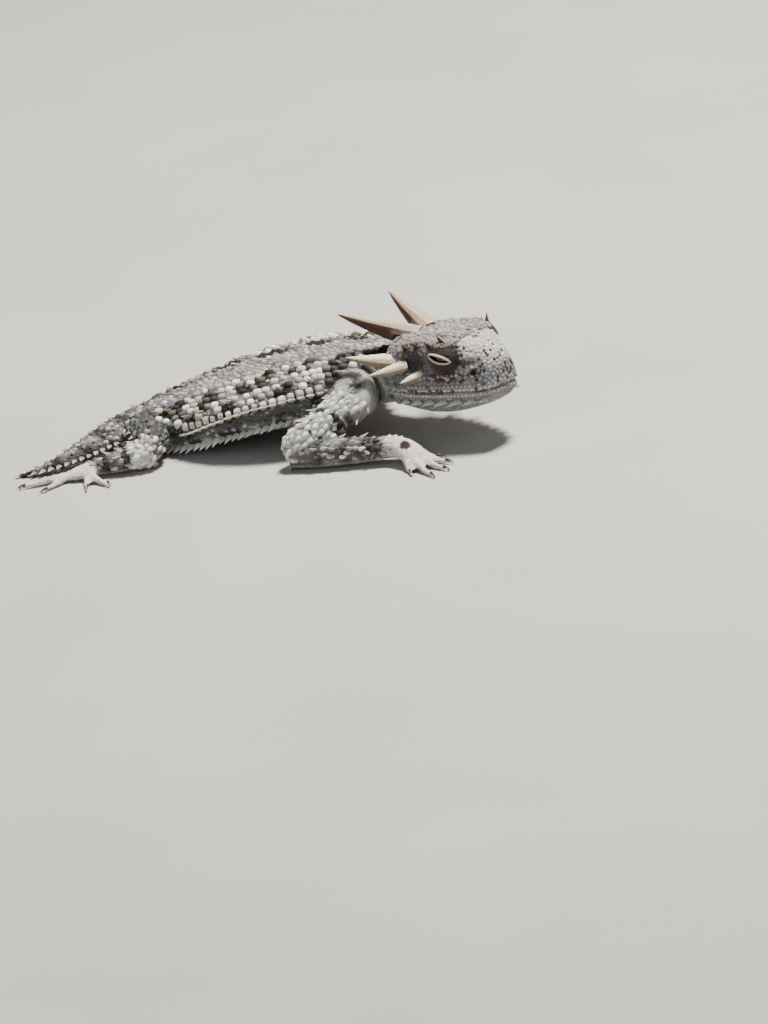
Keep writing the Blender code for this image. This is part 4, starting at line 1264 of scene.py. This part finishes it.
def unwrap(places):
    """Each place unrolled round its own length of the body, with the lengths side by side in one square."""
    kinds = sorted(set(places.names))
    columns = math.ceil(math.sqrt(len(kinds)))
    rows = math.ceil(len(kinds) / columns)
    number = np.array([kinds.index(name) for name in places.names])
    turn = places.turn / (2 * math.pi) % 1
    across = (number % columns + PATCH + (1 - 2 * PATCH) * places.along) / columns
    up = (number // columns + PATCH + (1 - 2 * PATCH) * turn) / rows
    return np.stack((across, up), axis=1)


def lying(lies, normals, tilt, yaw):
    """Axes of scales that lie along lies, turned by yaw and raised at the rear by tilt, as columns."""
    side = unit(np.cross(normals, lies))
    ahead = unit(lies * np.cos(yaw)[:, None] + side * np.sin(yaw)[:, None])
    side = unit(np.cross(normals, ahead))
    rise, level = math.sin(tilt), math.cos(tilt)
    return np.stack((ahead * level + normals * rise, side, normals * level - ahead * rise), axis=2)


def standing(roots, tips, lies):
    """Axes of spines from roots to tips, wide across the body, as columns."""
    up = unit(tips - roots)
    ahead = unit(np.cross(np.cross(up, lies), up))
    return np.stack((ahead, np.cross(up, ahead), up), axis=2)


def look_of(side):
    """The way an eye looks, and the ways along its slit to the snout and up across it."""
    out = pose.across * SIDES[side]
    look = out * math.cos(EYE_FORWARD) + pose.ahead * math.sin(EYE_FORWARD)
    on = pose.ahead * math.cos(EYE_FORWARD) - out * math.sin(EYE_FORWARD)
    look, up = (look * math.cos(EYE_RAISE) + pose.above * math.sin(EYE_RAISE),
                pose.above * math.cos(EYE_RAISE) - look * math.sin(EYE_RAISE))
    along = on * math.cos(LID_TILT) - up * math.sin(LID_TILT)
    across = up * math.cos(LID_TILT) + on * math.sin(LID_TILT)
    return look, along, across


def in_slit(points, side):
    """How far points lie along the slit of an eye, up across it and out from the eye's centre."""
    offset = points - np.mean(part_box(f"eye_{side}"), axis=0) / MM
    look, along, up = look_of(side)
    return offset @ along, offset @ up, offset @ look


def bare_places(places):
    """Where no scale grows: the mouth's line, the nostrils and the slits of the eyes."""
    x, _, z = places.head.T
    head = places.kind == "head"
    bare = head & (np.abs(z - mouth_height(x)) < 0.16) & (x < 9.6)
    bare |= head & (np.linalg.norm(places.head * (1, 0, 1) - NOSTRIL * (1, 0, 1), axis=1) < NOSTRIL_WIDTH)
    for side in SIDES:
        along, above, outward = in_slit(places.points, side)
        reach = oval(along, above, 0, 0, SLIT_HALF_LENGTH + 0.3, SLIT_HALF_HEIGHT + 0.35)
        bare |= (reach < 1) & (outward > 1)
    return bare


def radii_of(places):
    """Scale radii in passes, large to small: 0 where a pass has none."""
    kind, up = places.kind, places.normals[:, 2]
    share = np.abs(places.out) / places.half_width
    body = np.isin(kind, BODY)
    loose = loose_skin(places) > LOOSE
    flank = (kind == "torso") & (share > FLANK_EDGE) & (up > -0.6) & ~loose
    back = body & (up > -0.35) & ~loose & ~flank
    limb = np.isin(kind, LIMB_NAMES) & (up > -0.4) & ~loose
    sleeve = limb & np.isin(kind, SLEEVES)
    knee = (kind == "shank") & (places.along < KNEE_END)
    head = kind == "head"
    x, y, z = places.head.T
    lid = head & (np.hypot(np.hypot(x, z), np.abs(y) - EYE_OUT) < LID_REACH)
    crown = head & ~lid & (z > 0.4) & (x > -9)
    face = head & ~lid & (z >= mouth_height(x) - 0.3)
    few = rng.random(len(kind))
    passes = (
        first_of(0.0, (crown & (x <= 2.5), 0.6), (crown & (few < 0.3), 0.42), (sleeve | knee, 0.72),
                 (limb & (few < 0.2), 0.55), (back & (kind != "tail_tip") & (few < 0.12), 0.66)),
        first_of(0.0, (loose, 0.0), (crown, 0.36), (face & (few < 0.5), 0.34), (sleeve, 0.42), (limb, 0.4),
                 (flank & (up < 0.2) & (few < 0.05), 0.5), (back, 0.46),
                 (flank & (up > 0.2) & (few < 0.7), 0.5)),
        first_of(0.28, (np.isin(kind, PAWS), 0.25), (lid, 0.17), (loose, 0.2), (body & (up < -0.35), 0.42)))
    bare = bare_places(places)
    vary = rng.uniform(0.86, 1.12, len(kind))
    return [np.where(bare, 0, radii * vary) for radii in passes]


def scale_tints(places, radii):
    """The marks, paler on large scales, with painted shade on the small ones between them."""
    count = len(radii)
    tints = colours(places)
    kind, up = places.kind, places.normals[:, 2]
    loose = loose_skin(places)
    body = ~np.isin(kind, PAWS + ("head",))
    marked = tints.mean(axis=1) < 0.11
    flank = (kind == "torso") & (np.abs(places.out) > 0.4 * places.half_width) & (up > -0.35)
    strip = flank & (up < 0.2)
    ledge = flank & ~strip
    blocks = flank & (radii > BLOCK_RADIUS)
    hip = ((kind == "thigh") & (places.along < 0.8)) | ((kind == "torso") & (places.back > HIPS_START))
    bright = np.where(flank | ~np.isin(kind, TRUNK), 0.8, 0.25)
    bright = np.where(hip, 0.8 * (rng.random(count) < 0.2), bright)
    tints = blend(tints, PALE, bright * smoothstep(0.42, 0.75, radii) * body * ~marked * (1 - loose))
    back = np.isin(kind, BACK) & ~flank & ~marked & (up > 0)
    tints = tints * np.where(back, BACK_SHADE, 1)[:, None]
    # Painted shade in the gaps: the small scales between the large ones are darker, most of all on the
    # flank's ledge.
    gap_shade = 0.76 + 0.3 * smoothstep(0.28, 0.6, radii)
    gap_shade = np.where(ledge, 0.42 + 0.72 * smoothstep(0.28, 0.65, radii), gap_shade)
    tints = tints * np.where(body & (loose < LOOSE), gap_shade, 1)[:, None]
    for colour, amount, chance, where in (
            (RUST, 0.75, 0.2, ledge & (radii < 0.56)), (TAN, 0.4, 0.22, blocks), (SLATE, 0.5, 0.25, blocks),
            (PALE, 0.8, 0.07, body & marked & (radii > 0.5))):
        tints = blend(tints, colour, amount * (where & (rng.random(count) < chance)))
    x, _, z = places.head.T
    pitted = (kind == "head") & (x > -1.0) & (z > mouth_height(x) + 0.3) & (radii < 0.33)
    tints = np.where((pitted & (rng.random(count) < 0.42))[:, None], PIT_BROWN, tints)
    tints = tints * rng.lognormal(0, np.where(body & ~strip & (loose < LOOSE), 0.34, 0.12))[:, None]
    return np.clip(tints, 0.012, 0.9)


def add_scales(coat, forms, places, radii):
    """Scales of one length of the body: keeled where large, blocks along the flanks, granules on the head."""
    points, normals = places.points, places.normals
    patches = unwrap(places)
    tints = scale_tints(places, radii)
    yaw = rng.normal(0, 0.14, len(points))
    share = np.abs(places.out) / places.half_width
    fold = loose_skin(places) > LOOSE
    fine = (places.kind == "head") | fold
    flake = ~np.isin(places.kind, TRUNK) & (radii > 0.5) & ~fine
    block = (places.kind == "torso") & (share > FLANK_EDGE) & (radii > BLOCK_RADIUS) & ~fine
    keeled = ~(fine | block | flake) & (radii > 0.37) & (normals[:, 2] > -0.45)
    masks = {"block": block, "flake": flake, "keeled": keeled, "plate": ~(fine | block | flake | keeled),
             "granule": fine & ~fold, "fold": fold}
    for name, mask in masks.items():
        if mask.any():
            tilt, stretch = SCALE_SHAPES[name]
            axes = lying(places.lie[mask], normals[mask], tilt, yaw[mask])
            sizes = radii[mask][:, None] * np.array(stretch)
            roots = points[mask] - normals[mask] * SCALE_SET
            coat.add(forms[name], roots, axes, sizes, tints[mask], patches[mask])


def add_rows(coat, form, rows):
    """Scales in rows, laid flat on the skin."""
    points, normals = (np.array([row[i] for row in rows]) for i in (0, 1))
    radii = np.array([row[2] for row in rows])
    places = Places(points, normals)
    torso = places.kind == "torso"
    tints = blend(colours(places), FRINGE_PALE, np.where(torso, rng.uniform(0.35, 1.0, len(rows)), 0.3))
    dark = ~torso & (rng.random(len(rows)) < 0.22) & (places.head[:, 2] > -5.9)
    tints = np.where(dark[:, None], BROWN * 1.3, tints)
    tints = np.clip(tints * rng.lognormal(0, 0.16, len(rows))[:, None], 0.02, 0.88)
    tilt, stretch = ROW_SHAPE
    axes = lying(places.lie, normals, tilt, rng.normal(0, 0.15, len(rows)) * torso)
    sizes = radii[:, None] * np.array(stretch)
    coat.add(form, points - normals * ROW_SET, axes, sizes, tints, unwrap(places))


def add_spines(coat, form, spines):
    """Spines of one length of the body, pale with darker brows and white fringes and shields."""
    roots, tips = (np.array([spine[i] for spine in spines]) for i in (0, 1))
    wide, thick = np.array([spine[2:] for spine in spines]).T
    places = Places(roots, unit(tips - roots))
    length = np.linalg.norm(tips - roots, axis=1)
    x, _, z = places.head.T
    on_head = places.kind == "head"
    shields = on_head & (z < -6.6) & (x > -8)
    brow = on_head & (z > 0.4)
    lower = (places.kind == "torso") & (places.normals[:, 2] < -FRINGE_RISE)
    tints = blend(colours(places), PALE, np.where(on_head, 0.35, 0.45))
    tints = blend(tints, CREAM, 0.3 * ~(brow | lower))
    tints = blend(tints, SHIELD_WHITE, 0.8 * lower)
    tints = np.where(shields[:, None], SHIELD_WHITE, np.where(brow[:, None], BROWN * 1.2, tints))
    tints = np.clip(tints * rng.lognormal(0, 0.14, len(spines))[:, None], 0.02, 0.92)
    sizes = np.stack((np.maximum(wide, thick), np.minimum(wide, thick), length), axis=1)
    coat.add(form, roots, standing(roots, tips, places.lie), sizes, tints, unwrap(places))


def on_skin(aim, way, reach):
    """Point and normal where the skin is met on the way to aim from reach away: a list, empty if missed."""
    point, normal, _, _ = skin_tree.ray_cast(Vector(aim + way * reach), Vector(-way))
    return [] if point is None else [(np.array(point), np.array(normal))]


def on_cheek(x, height, side, rise=0.0):
    """Point and normal on one side of the head, met from that side and from above by a rise."""
    return on_skin(pose.from_head((x, 0, height)), pose.head_way((0, side, rise)), SIDE_PROBE)


def head_rows():
    """Rows of larger scales on both sides of the head: points, normals and radii."""
    found = []
    for height, step, radius, start, stop, middle_height, rise in HEAD_ROWS:
        for x in np.arange(start, stop, step):
            level = mouth_height(x) if middle_height is None else middle_height
            for side in SIDES.values():
                for point, normal in on_cheek(x, level + height, side, rise):
                    found.append((point, normal, radius))
    return found


def chin_shields():
    """White pointed shields along the lower jaw: root, tip, width and thickness."""
    found = []
    forward, out, up = SHIELD_LEAN
    for x, length in SHIELD_PLACES:
        for side in SIDES.values():
            for point, _ in on_cheek(x, mouth_height(x) - SHIELD_DROP, side):
                lean = pose.head_way((forward, out * side, up))
                found.append((point, point + lean * length, *SHIELD_SHAPE))
    return found


def horn_axis(name):
    """Root, tip and radius at the root of a CAD horn."""
    points = triangles(name)[0]
    tip = points[np.linalg.norm(points - pose.brow, axis=1).argmax()]
    away = np.linalg.norm(points - tip, axis=1)
    foot = points[away > away.max() * 0.82]
    root = foot.mean(axis=0)
    axis = unit(tip - root)
    spread = foot - root - np.outer((foot - root) @ axis, axis)
    return root, tip, float(np.linalg.norm(spread, axis=1).mean())


def horn_collars():
    """Scales in a ring round the foot of each horn."""
    found = []
    for name in HORNS:
        root, tip, radius = horn_axis(name)
        axis = unit(tip - root)
        beside = unit(np.cross(axis, UP))
        over = np.cross(beside, axis)
        count = int(2 * math.pi * radius / COLLAR_STEP)
        for turn in np.arange(count) / count * 2 * math.pi:
            place = root + (beside * math.cos(turn) + over * math.sin(turn)) * (radius + COLLAR_ROOM)
            point, normal, _, gap = skin_tree.find_nearest(Vector(place))
            if gap < COLLAR_GAP:
                found.append((np.array(point), np.array(normal), COLLAR_RADIUS))
    return found


def row_of(name, root, tip):
    """Which fringe a spine belongs to, or single."""
    near = pose.trunk.nearest(root[None])[0]
    way = unit(tip - root)
    left = pose.trunk.left[near]
    side = (root - pose.trunk.points[near]) @ left > 0
    if name.startswith("tail") and way[2] < FRINGE_RISE:
        return f"tail {side}"
    if name == "torso" and way[2] < -FRINGE_RISE:
        return f"lower {side}"
    if name == "torso" and way[2] < FRINGE_RISE and abs(way @ left) > FRINGE_SPREAD:
        return f"upper {side}"
    return "single"


def fringe_rows():
    """The CAD's spines in rows by fringe, each row from back to front, and the spines that stand alone."""
    rows, alone = {}, []
    for name in FLESH:
        if name.startswith(PAWS + ("head",)):
            continue
        for _, root, tip in solids.tips[name]:
            row = row_of(name, root, tip)
            if row == "single":
                alone.append((name, root, tip))
            else:
                rows.setdefault(row, []).append((root, tip))
    for members in rows.values():
        members.sort(key=lambda pair: pair[0] @ pose.trunk.ahead[len(pose.trunk.points) // 2])
    return rows, alone


def evenly(members, step):
    """Roots and ways of spines at even steps along a row, each blended from its neighbours."""
    roots = np.array([root for root, _ in members])
    ways = np.array([tip - root for root, tip in members])
    reach = np.concatenate(((0,), np.cumsum(np.linalg.norm(np.diff(roots, axis=0), axis=1))))
    at = np.arange(0, reach[-1], step)
    return [np.stack([np.interp(at, reach, part) for part in values.T], axis=1) for values in (roots, ways)]


def fringe_blocks(fringes):
    """Pale blocks in a row over the roots of the upper fringe: points, normals and radii."""
    found = []
    for row, members in fringes.items():
        if row.startswith("upper"):
            for root, _ in zip(*evenly(members, FRINGES["upper"][0])):
                above = Vector(root + UP * FRINGE_BLOCK * rng.uniform(0.8, 1.2))
                point, normal, _, _ = skin_tree.find_nearest(above)
                found.append((np.array(point), np.array(normal), FRINGE_BLOCK * rng.uniform(0.78, 1.1)))
    return found


def head_spines():
    """The spines of the brows, cheeks and jaw's corner, without the chin's shields."""
    found = []
    for _, root, tip in solids.tips["head"]:
        x, _, z = pose.in_head((root + tip) / 2)
        if z > -5.4 or x < -9.5:
            found.append((root, tip, *HEAD_SPINE))
    return found


def all_spines(fringes, alone):
    """Root, tip, width and thickness of every spine, denser than the CAD's along the fringes."""
    found = chin_shields()
    for row, members in fringes.items():
        step, wide, thick, keep = FRINGES[row.split()[0]]
        for root, way in zip(*evenly(members, step)):
            found.append((root, root + way * keep * rng.uniform(0.85, 1.1), wide, thick))
    for number, (name, root, tip) in enumerate(alone):
        if any(np.linalg.norm(other - root) < SPINE_ROOM for _, other, _ in alone[:number]):
            continue
        wide, thick, keep = SPINE_SHAPES["limb" if name.startswith(LIMB_NAMES) else "single"]
        found.append((root, root + (tip - root) * keep, wide, thick))
    return found + head_spines()


def flank_rows(rows):
    """Large scales in rows on both flanks, clear of the rows laid before: their places and radii."""
    found = []
    line = pose.trunk
    for side in SIDES.values():
        for row, share in enumerate(FLANK_ROWS):
            for back in np.arange(FLANK_START + FLANK_STEP * 0.5 * (row % 2), FLANK_STOP, FLANK_STEP):
                back += rng.normal(0, 0.1)
                i = np.searchsorted(line.length, line.length[-1] - back)
                out = np.interp(back, *pose.widths) * (share + rng.normal(0, 0.008))
                found += on_skin(line.points[i] + line.left[i] * side * out, UP, TOP_PROBE)
    places = Places(*(np.array(values) for values in zip(*found)))
    radii = rng.uniform(*FLANK_RADII, len(found))
    clear = [all(np.linalg.norm(place - point) > radius * FLANK_ROOM for point, _, radius in rows)
             for place in places.points]
    keep = (places.kind == "torso") & (loose_skin(places) < LOOSE) & np.array(clear)
    return places.chosen(keep), radii[keep]


def members_of(things, names):
    """The spines or row scales that grow on some nodes."""
    grown_on = solids.names_at([thing[0] for thing in things])
    return [thing for thing, name in zip(things, grown_on) if name in names]


def add_eye(side):
    """A glossy eyeball whose iris and pupil look out between the lids."""
    low, high = (np.array(corner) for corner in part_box(f"eye_{side}"))
    radius = float((high - low).min()) / 2
    middle = Vector((low + high) / 2)
    way = Vector(pose.across * SIDES[side])
    deselect()
    bpy.ops.mesh.primitive_uv_sphere_add(segments=40, ring_count=28, radius=radius)
    eye = bpy.context.object
    eye.name = f"eyeball_{side}"
    eye.matrix_world = Matrix.Translation(middle) @ way.to_track_quat("Z", "Y").to_matrix().to_4x4()
    bpy.ops.object.transform_apply(location=True, rotation=True, scale=True)
    mark(eye.data, "outward", [(vertex.co - middle).normalized().dot(way) for vertex in eye.data.vertices])
    bpy.ops.object.shade_smooth()
    eye.data.materials.append(eye_finish())
    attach(eye, "root")
    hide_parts(f"eye_{side}")


def add_lids(side, finish):
    """The pale rims of the half-shut lids: a ring drawn out to an almond and laid on the ball of the lids."""
    deselect()
    bpy.ops.mesh.primitive_torus_add(
        major_segments=72, minor_segments=12, major_radius=1.0, minor_radius=RIM_TUBE)
    rim = bpy.context.object
    rim.name = f"lid_rim_{side}"
    centre = np.mean(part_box(f"eye_{side}"), axis=0) / MM
    look, ahead, above = look_of(side)
    for vertex in rim.data.vertices:
        x, y, z = vertex.co
        turn = math.atan2(y, x)
        off = (math.hypot(x, y) - 1) * RIM_WIDTH / (2 * RIM_TUBE)
        along = (SLIT_HALF_LENGTH + off * 0.8) * math.cos(turn)
        up = SLIT_HALF_HEIGHT * math.copysign(abs(math.sin(turn)) ** 1.3, y) + off * math.sin(turn)
        ball = LID_BALL + z * RIM_THICKNESS / (2 * RIM_TUBE)
        outward = math.sqrt(max(ball * ball - along * along - up * up, 0.1))
        vertex.co = (centre + ahead * along + above * up + look * outward) * MM
    face_outward(rim)
    bpy.ops.object.shade_smooth()
    rim.data.materials.append(finish)
    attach(rim, "root")


def add_horn(name, finish):
    """A finer copy of a CAD horn, ringed with the ridges of its growth, its foot sunk into the skin."""
    points, faces = triangles(name)
    root, tip, _ = horn_axis(name)
    axis = unit(tip - root)
    length = np.linalg.norm(tip - root)
    low = (points - root) @ axis < HORN_FOOT * length
    points = points - np.outer(low * HORN_SINK, axis)
    mesh = bpy.data.meshes.new(f"{name}_fine")
    mesh.from_pydata(points * MM, [], faces)
    horn = new_object(f"{name}_fine", mesh)
    modify(horn, "REMESH", mode="VOXEL", voxel_size=HORN_VOXEL * MM)
    keep_outer(horn)
    modify(horn, "SMOOTH", factor=0.5, iterations=8)
    points, normals = surface(horn)
    share = np.clip((points - root) @ axis / length, 0, 1)
    rings = np.sin(2 * math.pi * share * length / HORN_RING + grain(points, 0.9) * 0.9)
    points += normals * (0.03 * rings * (1 - share) + 0.02 * grain(points, 0.35, 2))[:, None]
    write_points(horn.data, points)
    mark(horn.data, "share", share)
    # How much the surface faces up: the finishes paint the upper side lighter as painted light and the lower
    # side darker as painted shade.
    mark(horn.data, "dorsal", (normals * (UP - axis * axis[2])).sum(axis=1) * 0.5 + 0.5)
    pick(horn)
    bpy.ops.object.shade_smooth()
    horn.data.materials.append(finish)
    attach(horn, "root")
    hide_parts(name)


def make_claw(wrist, tip):
    """A claw that curves down from a digit's tip to the floor."""
    deselect()
    bpy.ops.mesh.primitive_cone_add(vertices=10, radius1=CLAW_RADIUS, radius2=CLAW_TIP, depth=CLAW_LENGTH)
    claw = bpy.context.object
    cut_level(claw, [height * CLAW_LENGTH / 2 for height in CLAW_STEPS])
    way = unit((tip - wrist) * (1, 1, 0))
    beside = np.cross(UP, way)
    for vertex in claw.data.vertices:
        x, y, z = vertex.co
        share = z / CLAW_LENGTH + 0.5
        rise = CLAW_ARCH * 4 * share * (1 - share) + CLAW_ROOT_HEIGHT * (1 - share)
        place = tip + way * (z - CLAW_LENGTH / 2) + beside * x * 0.8 + UP * (rise + y)
        place[2] = max(place[2], CLAW_LEAST_HEIGHT)
        vertex.co = np.clip(place, *LIMITS) * MM
    return claw


def add_claws(side, finish):
    """Curved claws on one side's fingers and toes, joined in one mesh."""
    claws = [make_claw(wrist, tip) for paw in PAWS for wrist, tip in pose.limb_lines[f"{paw}_{side}"]]
    for claw in claws:
        claw.select_set(True)
    bpy.context.view_layer.objects.active = claws[0]
    bpy.ops.object.join()
    joined = bpy.context.object
    joined.name = f"claws_{side}"
    joined.matrix_world = Matrix.Identity(4)
    face_outward(joined)
    bpy.ops.object.shade_smooth_by_angle(angle=CLAW_SMOOTH)
    joined.data.materials.append(finish)
    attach(joined, "root")


make_camera()
make_world()
for light in LIGHTS:
    make_light(*light)
make_floor()

# The functions above read solids, pose and skin_tree.
solids = Solids()
pose = Pose()
skin = make_skin()
ground = Places(*surface(skin))
write_points(skin.data, ground.points + ground.normals * sculpt(ground)[:, None])
# Painted shade in the gaps between the scales: the skin is darkened deeply on the back and the sleeves, less
# elsewhere, and not on loose skin.
shaded = np.isin(ground.kind, BACK + SLEEVES) & (ground.normals[:, 2] > -0.4)
shade = np.where(shaded, SKIN_SHADE, BARE_SHADE)
paint(skin.data, colours(ground) * (shade + (1 - shade) * loose_skin(ground))[:, None])
skin.data.materials.append(skin_finish())
pick(skin)
bpy.ops.object.shade_smooth()
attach(skin, "root")
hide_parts(*FLESH)
skin_tree = BVHTree.FromPolygons(surface(skin)[0], [tuple(face.vertices) for face in skin.data.polygons])

forms = {"block": keeled_scale(0.66, 0.25, 0.05, 0.16), "keeled": keeled_scale(0.45, 0.4, 0.4),
         "flake": keeled_scale(0.5, 0.4, 0.55), "plate": keeled_scale(0.6, 0.16, 0.2), "granule": granule()}
forms["fold"] = forms["granule"]
spine = spine_form()
spots = random_places(skin)
fringes, alone = fringe_rows()
spines = all_spines(fringes, alone)
rows = head_rows() + horn_collars() + fringe_blocks(fringes)
flank, flank_radii = flank_rows(rows)
taken = [(root, min(wide, WIDEST_FOOT) * SPINE_FOOT) for root, _, wide, _ in spines]
taken += [(point, radius * ROW_ROOM) for point, _, radius in rows]
taken += [(point, radius * ROW_ROOM) for point, radius in zip(flank.points, flank_radii)]
chosen, radii = spaced(spots.points, radii_of(spots), taken)
spots = spots.chosen(chosen).joined(flank)
radii = np.concatenate((radii, flank_radii))
scales = scale_finish()
for title, members in COATS.items():
    names = [name for name in FLESH if name.startswith(members)]
    here = np.isin(spots.names, names)
    own_spines, own_rows = members_of(spines, names), members_of(rows, names)
    coat = Coat(title)
    add_scales(coat, forms, spots.chosen(here), radii[here])
    if own_spines:
        add_spines(coat, spine, own_spines)
    if own_rows:
        add_rows(coat, forms["block"], own_rows)
    coat.build(scales)

dark_horn, pale_horn = horn_finish(), cheek_horn_finish()
for name in HORNS:
    add_horn(name, dark_horn if "occipital" in name else pale_horn)
rim = rim_finish()
claw = claw_finish()
for side in SIDES:
    add_eye(side)
    add_lids(side, rim)
    add_claws(side, claw)
